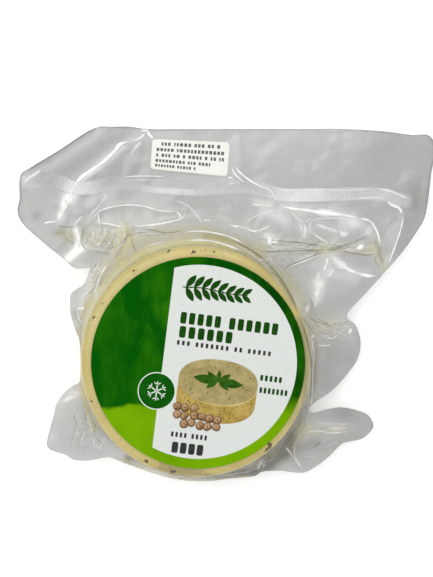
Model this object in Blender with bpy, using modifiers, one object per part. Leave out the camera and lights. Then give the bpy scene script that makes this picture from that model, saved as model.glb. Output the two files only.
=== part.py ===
"""A round herb cheese in a clear vacuum bag, with a round paper label and a date sticker.

Metres, +Z up. The origin is on the floor under the cheese's axis, the bag's sealed lip
points along +Y, and the cheese lies flat with its label up.
"""
import math
import random

import bmesh
import bpy
import numpy as np
from mathutils import Matrix, Vector

MM = 0.001

# Cheese: a puck of 250 g, a turned body with rounded edges that is a little longer than wide
CHEESE_RADIUS = 49.2 * MM
OVAL = 1.02
CHEESE_BOTTOM_Z = 1.1 * MM
CHEESE_TOP_Z = 32.1 * MM
BOTTOM_EDGE_RADIUS = 3.0 * MM
TOP_EDGE_RADIUS = 3.5 * MM
CHEESE_STEPS = 96
EDGE_SEGMENTS = 5

# Herb flecks that show on the cheese's rim: angle in degrees, radius and half length in mm
LARGE_FLECKS = (
    (91, 46.3, 1.0), (103.5, 48.2, 1.1), (80.5, 47.1, 0.7), (156, 47.2, 1.0), (124, 46.6, 0.8),
    (-160, 47.3, 0.7), (-117, 46.8, 1.2), (-102, 47.2, 1.6), (-48, 47.3, 1.8), (-51, 48.0, 1.0),
)
SMALL_FLECK_COUNT = 34
SMALL_FLECK_RADII = (46.8, 48.3)
SMALL_FLECK_LENGTHS = (0.35, 0.7)
FLECK_SPACING = 0.05
FLECK_SLIMNESS = 0.45
FLECK_HALF_HEIGHT = 0.34 * MM
FLECK_SINK = 0.12 * MM
FLECK_SEED = 7
STEEPEST_FLECK = 0.9

# Bag: two films welded round the cheese, one closed shell open where the label shows
FILM_WALL = 0.8 * MM
FILM_CLEARANCE = 0.3 * MM
COLLAR_Z = 28.0 * MM
SEAM_THICKNESS = 1.0 * MM
BAG_STEPS = 144
SEAM_STATIONS = (0.05, 0.12, 0.21, 0.33, 0.50, 0.72, 1.0)
WIDEST_TENT_SHARE = 0.8

# The welded seam's height: at the cheese, and its slope towards the lip and in the lobes
SEAM_AT_WALL_Z = 13.0 * MM
LIP_RISE = 0.02
LOBE_FALL = 0.16
LIP_START_Y = -5.0 * MM
LIP_FULL_Y = 50.0 * MM
UPPER_TENT = 9.0 * MM
LOWER_TENT = 5.0 * MM
PLEAT_HEIGHT = 0.9 * MM
PLEATS = 17

# The bag's cut edge, counterclockwise from the left: the angle at the cheese that the film
# is drawn from, in degrees, and the edge point that it reaches, in mm
LEFT_SIDE = ((-175, -51, -2), (-165, -51.5, -11))
LOWER_LEFT_LOBE = (
    (-162.5, -54, -13), (-160, -58, -16), (-157.5, -62, -21.5), (-155, -63.5, -27),
    (-150, -65, -32), (-145, -67, -40.5), (-142.5, -64.5, -43.5), (-140, -59, -45),
    (-135, -54.5, -47.5), (-132.5, -48, -47.5), (-130, -41.5, -46),
)
LOWER_EDGE = (
    (-127.5, -38, -46), (-120, -29.5, -49.5), (-105, -16.5, -53.5), (-95, -6.5, -56),
    (-87.5, 4, -56.5), (-80, 14.5, -55.5), (-75, 25.5, -54.5), (-72.5, 29, -52.5),
    (-70, 36.5, -52), (-65, 47.5, -53), (-62.5, 54.5, -49.5), (-60, 59.5, -45.5),
)
LOWER_RIGHT_LOBE = (
    (-57.5, 64.5, -40.5), (-55, 68.5, -39.5), (-52.5, 74.5, -38), (-50, 79, -33),
    (-47.5, 76.5, -27.5), (-45, 71, -25), (-42.5, 64.5, -23.5), (-40, 58.5, -24),
    (-35, 51.5, -25.5),
)
RIGHT_LOBE = (
    (-27.5, 51, -22), (-17.5, 59.5, -16), (-10, 67.5, -7.5), (-5, 71.5, -1.5), (2.5, 72.5, 6),
    (10, 70, 13.5), (15, 66, 18),
)
RIGHT_WING = (
    (20, 73.5, 27), (25, 83, 38), (27.5, 91, 48), (30, 98, 59), (32.5, 100, 66.5),
    (37.5, 101.5, 79.5), (40, 103, 88.5), (42.5, 102.5, 93.5), (45, 99.5, 96.5),
)
LIP_EDGE = (
    (47.5, 92.5, 96.5), (50, 80.5, 98), (57.5, 63, 99), (62.5, 48, 99), (72.5, 23.5, 99),
    (80, 2, 99), (87.5, -20, 99), (92.5, -28.5, 100), (95, -36.5, 100), (97.5, -41.5, 100),
)
LEFT_WING = (
    (100, -47.5, 97.5), (102.5, -59, 90), (105, -71.5, 82.5), (107.5, -76, 79), (110, -76.5, 69),
    (112.5, -77.5, 64), (115, -75.5, 58.5), (117.5, -67.5, 51), (120, -58.5, 43.5),
    (122.5, -52.5, 38.5),
)
UPPER_LEFT_FOLD = (
    (127.5, -46.5, 39.5), (142.5, -47.5, 35.5), (147.5, -49.5, 31.5), (152.5, -54.5, 28),
    (157.5, -55.5, 23.5), (162.5, -55, 18), (170, -53, 11), (175, -51.5, 7),
)
CUT_EDGE = (
    LEFT_SIDE + LOWER_LEFT_LOBE + LOWER_EDGE + LOWER_RIGHT_LOBE + RIGHT_LOBE + RIGHT_WING
    + LIP_EDGE + LEFT_WING + UPPER_LEFT_FOLD
)

# Round label on top of the film, a little off the cheese's axis
LABEL_RADIUS = 45.0 * MM
LABEL_THICKNESS = 0.4 * MM
LABEL_GAP = 0.3 * MM
LABEL_X = 1.0 * MM
LABEL_Y = -0.1 * MM
LABEL_SIDES = 120

# Date sticker on the bag's lip
STICKER_WIDTH = 34.0 * MM
STICKER_HEIGHT = 15.0 * MM
STICKER_THICKNESS = 0.4 * MM
STICKER_CORNER = 1.5 * MM
STICKER_X = -2.9 * MM
STICKER_Y = 87.7 * MM
STICKER_TURN = math.radians(-3.0)
STICKER_GAP = 0.3 * MM

INNER_WALL_RADIUS = CHEESE_RADIUS + FILM_CLEARANCE
OUTER_WALL_RADIUS = INNER_WALL_RADIUS + FILM_WALL
EDGE_CENTRE_RADIUS = CHEESE_RADIUS - BOTTOM_EDGE_RADIUS
EDGE_CENTRE_Z = CHEESE_BOTTOM_Z + BOTTOM_EDGE_RADIUS


def clear_scene():
    for obj in list(bpy.data.objects):
        bpy.data.objects.remove(obj, do_unlink=True)


def material(name, colour, roughness, alpha=1.0):
    finish = bpy.data.materials.new(name)
    finish.use_nodes = True
    shader = finish.node_tree.nodes["Principled BSDF"]
    shader.inputs["Base Color"].default_value = (*colour, 1.0)
    shader.inputs["Roughness"].default_value = roughness
    shader.inputs["Metallic"].default_value = 0.0
    shader.inputs["Alpha"].default_value = alpha
    finish.diffuse_color = (*colour, alpha)
    return finish


def new_object(name, mesh, collection, finish):
    obj = bpy.data.objects.new(name, mesh)
    collection.objects.link(obj)
    if finish:
        mesh.materials.append(finish)
    return obj


def shade(mesh, degrees=40.0):
    mesh.shade_smooth()
    mesh.set_sharp_from_angle(angle=math.radians(degrees))


def stretch_along(mesh):
    """Draw a round shape out to the cheese's slightly oval one."""
    mesh.transform(Matrix.Diagonal((1.0, OVAL, 1.0, 1.0)))


def arc(centre_radius, centre_z, radius, start, end, segments):
    """Points (radius, height) along an arc of a turned profile, in degrees from outward."""
    points = []
    for step in range(segments + 1):
        angle = math.radians(start + (end - start) * step / segments)
        points.append((centre_radius + radius * math.cos(angle), centre_z + radius * math.sin(angle)))
    return points


def smooth_step(value):
    value = min(max(value, 0.0), 1.0)
    return value * value * (3.0 - 2.0 * value)


# Cheese


def cheese_profile():
    """The puck's half section at +X, from the top's centre down its side to the bottom's."""
    top = arc(CHEESE_RADIUS - TOP_EDGE_RADIUS, CHEESE_TOP_Z - TOP_EDGE_RADIUS, TOP_EDGE_RADIUS,
              90, 0, EDGE_SEGMENTS)
    bottom = arc(EDGE_CENTRE_RADIUS, EDGE_CENTRE_Z, BOTTOM_EDGE_RADIUS, 0, -90, EDGE_SEGMENTS)
    return [(0.0, CHEESE_TOP_Z)] + top + bottom + [(0.0, CHEESE_BOTTOM_Z)]


def turned_cheese(collection, finish):
    profile = bmesh.new()
    points = [profile.verts.new((radius, 0.0, height)) for radius, height in cheese_profile()]
    for first, second in zip(points, points[1:]):
        profile.edges.new((first, second))
    mesh = bpy.data.meshes.new("cheese")
    profile.to_mesh(mesh)
    profile.free()
    cheese = new_object("cheese", mesh, collection, finish)
    screw = cheese.modifiers.new("turn", "SCREW")
    screw.axis = "Z"
    screw.angle = math.tau
    screw.steps = CHEESE_STEPS
    screw.render_steps = CHEESE_STEPS
    screw.use_merge_vertices = True
    screw.merge_threshold = 0.00001
    screw.use_normal_calculate = True
    return cheese


def fleck_places():
    """Angle, radius, half length and twist of each herb fleck, the large ones by hand."""
    draw = random.Random(FLECK_SEED)
    places = [(math.radians(angle), radius * MM, length * MM, draw.uniform(-0.7, 0.7))
              for angle, radius, length in LARGE_FLECKS]
    for index in range(SMALL_FLECK_COUNT):
        angle = math.tau * (index + draw.uniform(0.1, 0.9)) / SMALL_FLECK_COUNT
        radius = draw.uniform(*SMALL_FLECK_RADII) * MM
        near = any(abs(math.remainder(angle - place[0], math.tau)) < FLECK_SPACING for place in places)
        length = draw.uniform(*SMALL_FLECK_LENGTHS) * MM
        if not near:
            places.append((angle, radius, length, draw.uniform(-1.4, 1.4)))
    return places


def flat_fleck(name, place, collection):
    """One flat fleck that lies a fifth of a millimetre proud of the cheese's rounded edge."""
    angle, radius, half_length, twist = place
    edge_start = CHEESE_RADIUS - TOP_EDGE_RADIUS
    lean = math.asin(min(max((radius - edge_start) / TOP_EDGE_RADIUS, 0.0), STEEPEST_FLECK))
    height = CHEESE_TOP_Z - TOP_EDGE_RADIUS * (1.0 - math.cos(lean))
    place_on_edge = (
        Matrix.Rotation(angle, 4, "Z")
        @ Matrix.Translation((radius, 0.0, height))
        @ Matrix.Rotation(lean, 4, "Y")
        @ Matrix.Rotation(twist, 4, "Z")
        @ Matrix.Translation((0.0, 0.0, -FLECK_SINK))
        @ Matrix.Diagonal((half_length * FLECK_SLIMNESS, half_length, FLECK_HALF_HEIGHT, 1.0))
    )
    shape = bmesh.new()
    bmesh.ops.create_icosphere(shape, subdivisions=1, radius=1.0, matrix=place_on_edge)
    mesh = bpy.data.meshes.new(name)
    shape.to_mesh(mesh)
    shape.free()
    return new_object(name, mesh, collection, None)


def build_cheese(collection, finish):
    """The turned puck with its flecks fused on, by one union that is then applied."""
    cheese = turned_cheese(collection, finish)
    flecks = bpy.data.collections.new("flecks")
    bpy.context.scene.collection.children.link(flecks)
    for index, place in enumerate(fleck_places()):
        flat_fleck(f"fleck_{index:02d}", place, flecks)
    union = cheese.modifiers.new("fuse_flecks", "BOOLEAN")
    union.operation = "UNION"
    union.operand_type = "COLLECTION"
    union.collection = flecks
    union.solver = "EXACT"
    view_layer = bpy.context.view_layer
    view_layer.update()
    evaluated = cheese.evaluated_get(bpy.context.evaluated_depsgraph_get())
    fused = bpy.data.meshes.new_from_object(evaluated)
    fused.name = "cheese"
    turned = cheese.data
    cheese.modifiers.clear()
    cheese.data = fused
    bpy.data.meshes.remove(turned)
    for fleck in list(flecks.objects):
        bpy.data.objects.remove(fleck, do_unlink=True)
    bpy.data.collections.remove(flecks)
    stretch_along(fused)
    shade(fused)
    return cheese


# Bag


def cut_edge_at(angle):
    """The cut edge point that the film reaches from this angle, before the oval stretch."""
    degrees = math.degrees(angle)
    while degrees < CUT_EDGE[0][0]:
        degrees += 360.0
    while degrees >= CUT_EDGE[0][0] + 360.0:
        degrees -= 360.0
    bases = [row[0] for row in CUT_EDGE] + [CUT_EDGE[0][0] + 360.0]
    across = [row[1] for row in CUT_EDGE] + [CUT_EDGE[0][1]]
    along = [row[2] for row in CUT_EDGE] + [CUT_EDGE[0][2]]
    return np.interp(degrees, bases, across) * MM, np.interp(degrees, bases, along) * MM / OVAL


def seam_height(x, y):
    """Height of the seam's middle, before the oval stretch: level in the lip, falling in the lobes."""
    out = max(math.hypot(x, y) - OUTER_WALL_RADIUS, 0.0)
    lip = smooth_step((y - LIP_START_Y) / (LIP_FULL_Y - LIP_START_Y))
    pleats = math.sin(PLEATS * math.atan2(y, x)) * PLEAT_HEIGHT * smooth_step(out / UPPER_TENT)
    return SEAM_AT_WALL_Z + out * (LIP_RISE * lip - LOBE_FALL * (1.0 - lip)) + pleats * (1.0 - lip)


def bag_profile():
    """The bag's half section at +X, from under the floor's centre round to the floor inside.

    The seam's stations stand at OUTER_WALL_RADIUS plus their share of one metre, above or
    below zero, and drape_seam then draws them out to the cut edge.
    """
    outer = arc(EDGE_CENTRE_RADIUS, EDGE_CENTRE_Z, OUTER_WALL_RADIUS - EDGE_CENTRE_RADIUS,
                -90, 0, EDGE_SEGMENTS)
    inner = arc(EDGE_CENTRE_RADIUS, EDGE_CENTRE_Z, INNER_WALL_RADIUS - EDGE_CENTRE_RADIUS,
                0, -90, EDGE_SEGMENTS)
    under = [(OUTER_WALL_RADIUS + share, -1.0) for share in SEAM_STATIONS]
    over = [(OUTER_WALL_RADIUS + share, 1.0) for share in reversed(SEAM_STATIONS)]
    collar = [(OUTER_WALL_RADIUS, COLLAR_Z), (INNER_WALL_RADIUS, COLLAR_Z)]
    return [(0.0, outer[0][1])] + outer + under + over + collar + inner + [(0.0, inner[-1][1])]


def drape_seam(mesh_data):
    """Draw the seam's stations out to the cut edge, tented up the cheese's side and under it."""
    for vert in mesh_data.verts:
        radius = math.hypot(vert.co.x, vert.co.y)
        share = radius - OUTER_WALL_RADIUS
        if share < SEAM_STATIONS[0] * 0.5:
            continue
        side = 1.0 if vert.co.z > 0.0 else -1.0
        angle = math.atan2(vert.co.y, vert.co.x)
        wall = Vector((math.cos(angle), math.sin(angle))) * OUTER_WALL_RADIUS
        place = wall.lerp(Vector(cut_edge_at(angle)), share)
        out = place.length - OUTER_WALL_RADIUS
        reach = Vector(cut_edge_at(angle)).length - OUTER_WALL_RADIUS
        middle = seam_height(place.x, place.y)
        tent_width = min(UPPER_TENT if side > 0 else LOWER_TENT, WIDEST_TENT_SHARE * reach)
        tent = max(1.0 - out / tent_width, 0.0) ** 2
        face = middle + side * SEAM_THICKNESS / 2.0
        wall_end = COLLAR_Z if side > 0 else EDGE_CENTRE_Z
        vert.co = (place.x, place.y, face + (wall_end - face) * tent)


def build_bag(collection, finish):
    shell = bmesh.new()
    points = [shell.verts.new((radius, 0.0, height)) for radius, height in bag_profile()]
    for first, second in zip(points, points[1:]):
        shell.edges.new((first, second))
    bmesh.ops.spin(shell, geom=shell.verts[:] + shell.edges[:], cent=(0, 0, 0), axis=(0, 0, 1),
                   dvec=(0, 0, 0), angle=math.tau, steps=BAG_STEPS, use_merge=True)
    bmesh.ops.remove_doubles(shell, verts=shell.verts[:], dist=0.001 * MM)
    drape_seam(shell)
    bmesh.ops.recalc_face_normals(shell, faces=shell.faces[:])
    bmesh.ops.triangulate(shell, faces=shell.faces[:], quad_method="SHORT_EDGE", ngon_method="BEAUTY")
    mesh = bpy.data.meshes.new("bag")
    shell.to_mesh(mesh)
    shell.free()
    stretch_along(mesh)
    shade(mesh)
    return new_object("bag", mesh, collection, finish)


# Label and date sticker


def build_label(collection, finish):
    bpy.ops.mesh.primitive_cylinder_add(vertices=LABEL_SIDES, radius=LABEL_RADIUS,
                                        depth=LABEL_THICKNESS)
    label = bpy.context.object
    label.name = "label"
    label.location = (LABEL_X, LABEL_Y, CHEESE_TOP_Z + LABEL_GAP + LABEL_THICKNESS / 2.0)
    return adopt(label, collection, finish)


def build_date_sticker(collection, finish):
    plate = bmesh.new()
    bmesh.ops.create_cube(plate, size=1.0)
    bmesh.ops.scale(plate, vec=(STICKER_WIDTH, STICKER_HEIGHT, STICKER_THICKNESS), verts=plate.verts[:])
    corners = [edge for edge in plate.edges
               if abs(edge.verts[0].co.z - edge.verts[1].co.z) > STICKER_THICKNESS / 2.0]
    bmesh.ops.bevel(plate, geom=corners, offset=STICKER_CORNER, segments=5, profile=0.5,
                    affect="EDGES", material=-1)
    mesh = bpy.data.meshes.new("date_sticker")
    plate.to_mesh(mesh)
    plate.free()
    shade(mesh)
    sticker = new_object("date_sticker", mesh, collection, finish)
    lip_z = seam_height(STICKER_X, STICKER_Y / OVAL) + SEAM_THICKNESS / 2.0
    sticker.location = (STICKER_X, STICKER_Y, lip_z + STICKER_GAP + STICKER_THICKNESS / 2.0)
    sticker.rotation_euler = (math.atan(LIP_RISE), 0.0, STICKER_TURN)
    return sticker


def adopt(obj, collection, finish):
    """Move a primitive into the object's own collection and give it its finish."""
    for owner in list(obj.users_collection):
        owner.objects.unlink(obj)
    collection.objects.link(obj)
    obj.data.name = obj.name
    obj.data.materials.append(finish)
    shade(obj.data)
    return obj


def main():
    clear_scene()
    collection = bpy.data.collections.new("herb_cheese_in_bag")
    bpy.context.scene.collection.children.link(collection)
    build_cheese(collection, material("cheese", (0.62, 0.50, 0.24), 0.55))
    build_bag(collection, material("film", (0.55, 0.56, 0.54), 0.15, 0.45))
    build_label(collection, material("label_paper", (0.02, 0.20, 0.01), 0.45))
    build_date_sticker(collection, material("sticker_paper", (0.90, 0.90, 0.86), 0.60))


main()
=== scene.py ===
"""Looks of a round herb cheese in a clear vacuum bag: cheese, film, folds, label and sticker."""
import math
import random

import bmesh
import bpy
import numpy as np
from mathutils import Matrix, Vector, noise


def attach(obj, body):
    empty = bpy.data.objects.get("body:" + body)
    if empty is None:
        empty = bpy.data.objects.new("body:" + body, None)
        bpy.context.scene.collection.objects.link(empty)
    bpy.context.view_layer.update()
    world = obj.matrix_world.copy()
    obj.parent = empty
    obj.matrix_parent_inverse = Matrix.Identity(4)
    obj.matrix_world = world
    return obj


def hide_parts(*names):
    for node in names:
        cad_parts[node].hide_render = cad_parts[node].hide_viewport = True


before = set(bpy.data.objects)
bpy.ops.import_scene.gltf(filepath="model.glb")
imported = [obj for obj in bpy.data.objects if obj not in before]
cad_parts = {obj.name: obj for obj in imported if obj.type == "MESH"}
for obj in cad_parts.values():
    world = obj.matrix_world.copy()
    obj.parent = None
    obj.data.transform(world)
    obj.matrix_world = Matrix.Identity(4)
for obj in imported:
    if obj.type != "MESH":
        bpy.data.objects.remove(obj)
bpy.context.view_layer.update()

# Lengths here are in millimetres and become metres when a mesh is finished
MM = 0.001

# Camera, from the photograph: 433 by 577 pixels, seen from a little above the lip
PHOTO_WIDTH = 433
PHOTO_HEIGHT = 577
LENS = 75.0
SENSOR = 36.0
CAMERA_PLACE = (8.8, 84.0, 535.9)
CAMERA_TILT = math.radians(5.91)
FOCAL_PIXELS = LENS / SENSOR * PHOTO_HEIGHT

# Cheese. It and the bag are made round, then drawn out along Y to their slightly oval shape.
OVAL = 1.02
CHEESE_RADIUS = 49.2
CHEESE_BOTTOM = 1.1
CHEESE_TOP = 32.1
TOP_EDGE = 3.5
BOTTOM_EDGE = 3.0
CHEESE_STEPS = 256
LARGE_FLECKS = (
    (91, 46.3, 1.0), (103.5, 48.2, 1.1), (80.5, 47.1, 0.7), (156, 47.2, 1.0), (124, 46.6, 0.8),
    (-160, 47.3, 0.7), (-117, 46.8, 1.2), (-102, 47.2, 1.6), (-48, 47.3, 1.8), (-51, 48.0, 1.0),
)
SIDE_FLECKS = 320
BOTTOM_FLECKS = 130

# Film: its clearance over the cheese, and the seam's height as in the solid
FILM_ON_CHEESE = 0.15
FILM_UNDER_CHEESE = 1.05
SEAM_AT_WALL = 13.0
LIP_RISE = 0.02
LOBE_FALL = 0.16
LIP_START = -5.0
LIP_FULL = 50.0
SEAM_GAP = 0.30
WALL_RADIUS = CHEESE_RADIUS + FILM_ON_CHEESE
TENT_TOP = CHEESE_TOP - TOP_EDGE
TENT_FOOT = CHEESE_BOTTOM + BOTTOM_EDGE
FILM_STEPS = 640
TOP_STATIONS = 72
UNDER_STATIONS = 56
EDGE_STATIONS = 8

# Width in mm of the tent that the film makes beside the cheese, by angle in degrees
TENT_WIDTHS = (
    (-180, 1.4), (-165, 2.5), (-150, 7), (-120, 8), (-80, 7), (-50, 10), (-30, 6), (0, 8),
    (30, 10), (60, 12), (95, 13), (125, 10), (145, 6), (160, 6), (172, 2), (180, 1.4),
)

# The bag's cut edge, counterclockwise from the left: the angle at the cheese that the film
# is drawn from, in degrees, and the edge point that it reaches, in mm
LEFT_SIDE = ((-175, -51, -2), (-165, -51.5, -11))
LOWER_LEFT_LOBE = (
    (-162.5, -54, -13), (-160, -58, -16), (-157.5, -62, -21.5), (-155, -63.5, -27),
    (-150, -65, -32), (-145, -67, -40.5), (-142.5, -64.5, -43.5), (-140, -59, -45),
    (-135, -54.5, -47.5), (-132.5, -48, -47.5), (-130, -41.5, -46),
)
LOWER_EDGE = (
    (-127.5, -38, -46), (-120, -29.5, -49.5), (-105, -16.5, -53.5), (-95, -6.5, -56),
    (-87.5, 4, -56.5), (-80, 14.5, -55.5), (-75, 25.5, -54.5), (-72.5, 29, -52.5),
    (-70, 36.5, -52), (-65, 47.5, -53), (-62.5, 54.5, -49.5), (-60, 59.5, -45.5),
)
LOWER_RIGHT_LOBE = (
    (-57.5, 64.5, -40.5), (-55, 68.5, -39.5), (-52.5, 74.5, -38), (-50, 79, -33),
    (-47.5, 76.5, -27.5), (-45, 71, -25), (-42.5, 64.5, -23.5), (-40, 58.5, -24),
    (-35, 51.5, -25.5),
)
RIGHT_LOBE = (
    (-27.5, 51, -22), (-17.5, 59.5, -16), (-10, 67.5, -7.5), (-5, 71.5, -1.5), (2.5, 72.5, 6),
    (10, 70, 13.5), (15, 66, 18),
)
RIGHT_WING = (
    (20, 73.5, 27), (25, 83, 38), (27.5, 91, 48), (30, 98, 59), (32.5, 100, 66.5),
    (37.5, 101.5, 79.5), (40, 103, 88.5), (42.5, 102.5, 93.5), (45, 99.5, 96.5),
)
LIP_EDGE = (
    (47.5, 92.5, 96.5), (50, 80.5, 98), (57.5, 63, 99), (62.5, 48, 99), (72.5, 23.5, 99),
    (80, 2, 99), (87.5, -20, 99), (92.5, -28.5, 100), (95, -36.5, 100), (97.5, -41.5, 100),
)
LEFT_WING = (
    (100, -47.5, 97.5), (102.5, -59, 90), (105, -71.5, 82.5), (107.5, -76, 79), (110, -76.5, 69),
    (112.5, -77.5, 64), (115, -75.5, 58.5), (117.5, -67.5, 51), (120, -58.5, 43.5),
    (122.5, -52.5, 38.5),
)
UPPER_LEFT_FOLD = (
    (127.5, -46.5, 39.5), (142.5, -47.5, 35.5), (147.5, -49.5, 31.5), (152.5, -54.5, 28),
    (157.5, -55.5, 23.5), (162.5, -55, 18), (170, -53, 11), (175, -51.5, 7),
)
CUT_EDGE = (
    LEFT_SIDE + LOWER_LEFT_LOBE + LOWER_EDGE + LOWER_RIGHT_LOBE + RIGHT_LOBE + RIGHT_WING
    + LIP_EDGE + LEFT_WING + UPPER_LEFT_FOLD
)

# Folds of the film, each as (half width in mm, height in mm, strength of the painted highlight
# along it, olive share that turns it into painted shade, photo pixels along it). They are laid on
# the film where the camera saw them.
LIP_FOLDS = {
    "long_diagonal": (0.95, 0.5, 1.0, 0, (
        (134.5, 140.5), (121, 144), (113.5, 152.5), (100, 164.5), (82, 177), (76, 185.5),
        (70, 196), (64, 203.5))),
    "diagonal_start": (0.5, 0.4, 0.7, 0, ((145.5, 133), (140, 138), (132, 141))),
    "diagonal_end": (2.0, 0.4, 1.0, 0, ((72, 199), (66, 205), (61.5, 213), (56, 223))),
    "diagonal_patch": (2.4, 0.4, 1.0, 0, ((64, 196), (64, 203), (63, 209), (60, 217))),
    "diagonal_wide": (1.9, 0.3, 0.6, 0, ((118, 147), (104, 162), (86, 177), (72, 194))),
    "diagonal_tail": (0.4, 0.2, 0.8, 0, ((57, 222), (50, 222), (43, 223.5))),
    "second_diagonal": (0.9, 0.2, 0.35, 0, ((142, 140.5), (133, 151), (130, 158.5))),
    "corner_streak": (0.6, 0.3, 0.75, 0, ((42, 169.5), (29.5, 178), (23.5, 184))),
    "gather_right": (0.7, 0.4, 0.85, 0, ((144, 128), (149, 134), (154, 139.5))),
    "gather_lip": (0.5, 0.3, 0.7, 0, ((140, 130.5), (148, 130.5), (164.5, 128.5))),
    "lip_bright": (0.5, 0.2, 0.7, 0, ((96, 129), (106, 126.5), (113.5, 127.5))),
    "pillow_top": (0.35, 0.3, 0.75, 0, (
        (88.5, 223.5), (98.5, 212.5), (106, 208.5), (125.5, 205), (145, 206.5), (161.5, 211),
        (186, 211.5))),
    "pillow_back": (0.4, 0.3, 0.8, 0, ((186, 211.5), (180, 219), (154, 224.5), (130, 226.5))),
    "pillow_point": (0.5, 0.3, 0.8, 0, ((176, 211.5), (180, 215), (180.5, 219))),
    "pillow_left": (0.45, 0.3, 0.7, 0, ((98.5, 212.5), (99, 220), (100, 226))),
    "below_seal": (0.5, 0.2, 0.30, 0, ((172, 199), (188.5, 206.5), (205, 226))),
    "left_of_seal": (0.35, 0.2, 0.35, 0, ((109, 191.5), (100, 205), (88, 217))),
    "small_hook": (0.4, 0.2, 0.6, 0, ((84, 216), (80, 218), (74.5, 226))),
}
POCKET_FOLDS = {
    "pocket_top": (0.5, 0.4, 0.85, 0, ((100, 223.5), (107, 223.5), (113.5, 225), (124, 227))),
    "pocket_left": (0.35, 0.3, 0.4, 0.9, ((85, 226.5), (82, 238), (83, 246), (88, 250.5))),
    "pocket_low": (0.35, 0.3, 0.32, 0.8, ((88, 250.5), (100, 252), (113.5, 254.5))),
    "pocket_fold_1": (0.35, 0.3, 0.6, 0.1, ((91.5, 229.5), (94, 235), (91.5, 242.5))),
    "pocket_fold_2": (0.4, 0.3, 0.6, 0.1, ((106, 229), (103, 239.5), (95.5, 247))),
    "pocket_fold_3": (0.35, 0.3, 0.4, 0.6, ((115, 230.5), (112, 242.5), (106, 250))),
    "glare": (1.0, 0.5, 0.9, 0, ((76, 227), (78, 233), (79, 240), (79.5, 248))),
    "wing_edge_dark": (0.3, 0.2, 0.35, 1, ((57, 226), (66, 226.5), (76, 227.5))),
    "wing_edge_low": (0.25, 0.2, 0.28, 1, ((61.5, 235), (68, 240), (75, 244))),
    "roll_left": (0.8, 0.6, 0.22, 0.6, (
        (121.5, 226), (127, 230), (126, 239.5), (120, 251), (110.5, 262.5))),
    "roll_right": (0.5, 0.3, 0.22, 0.8, ((128.5, 230.5), (133, 244), (137.5, 254.5))),
    "roll_line": (0.3, 0.2, 0.5, 0.3, ((125.5, 236), (118, 250), (107.5, 263.5))),
    "down_left": (0.5, 0.4, 0.8, 0, ((107.5, 263), (100, 277), (95.5, 292), (92.5, 299.5))),
    "down_left_inner": (0.3, 0.2, 0.5, 0.5, ((110, 264), (106, 272), (98.5, 287.5))),
}
EDGE_FOLDS = {
    "above_cheese": (0.4, 0.3, 0.75, 0, (
        (181, 234), (190, 231.5), (205, 231.5), (222, 234.5), (236, 239.5), (246, 245.5))),
    "above_cheese_left": (0.25, 0.2, 0.4, 0, ((134, 231.5), (151, 234), (163, 236.5), (176, 234.5))),
    "above_cheese_line": (0.25, 0.2, 0.4, 1, ((136, 228.5), (152, 230), (168, 233), (186, 229.5))),
    "rim_shine": (0.35, 0.1, 0.9, 0, ((184, 241), (200, 240), (216, 242), (232, 247), (244, 252))),
    "rim_shine_left": (0.3, 0.1, 0.45, 0.1, ((137.5, 250.5), (152, 244.5), (169, 241))),
    "rim_left": (0.22, 0.1, 0.3, 0, ((82.5, 332), (80.5, 350), (81, 372), (83, 390))),
    "side_line": (0.35, 0.2, 0.45, 1, (
        (225, 238), (237, 242.5), (249, 249), (259.5, 256), (269, 264.5), (278, 275),
        (286, 287), (294, 303), (300.5, 320))),
    "side_line_right": (0.40, 0.2, 0.65, 1, (
        (300, 317), (305, 332), (309, 347), (311.5, 364), (311.5, 383), (309.5, 401), (304.5, 416))),
    "side_line_corner": (0.36, 0.2, 0.50, 1, (
        (305, 414), (299, 425), (290, 435.5), (281, 445), (270, 454.5), (259, 462))),
    "side_line_low": (0.2, 0.2, 0.45, 0.1, (
        (228, 241), (246, 250), (262, 262.5), (276, 279), (287, 297))),
    "tent_line": (0.35, 0.4, 0.6, 0.1, (
        (312.5, 339.5), (314, 354), (313, 367), (312.5, 384), (311.5, 402), (309, 419.5))),
    "tent_line_dark": (0.2, 0.2, 0.45, 1, ((316, 334), (316.5, 350), (315, 372), (314, 392))),
    "bottom_seam": (0.4, 0.2, 0.5, 0.4, (
        (116.5, 459), (137, 466), (155, 473.5), (167.5, 476), (193, 480), (225, 480))),
    "bottom_seam_dark": (0.25, 0.2, 0.4, 1, (
        (120, 458), (140, 464), (160, 471), (190, 476), (222, 477), (250, 473))),
    "fin_spot": (0.7, 0.3, 0.85, 0, ((76, 307.5), (80.5, 308.5), (85, 307))),
    "fin_line": (0.35, 0.2, 0.65, 0, ((77, 307), (79, 318), (83, 331))),
    "fin_top": (0.3, 0.2, 0.5, 0, ((76, 300.5), (83, 295.5), (91, 290))),
}
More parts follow.
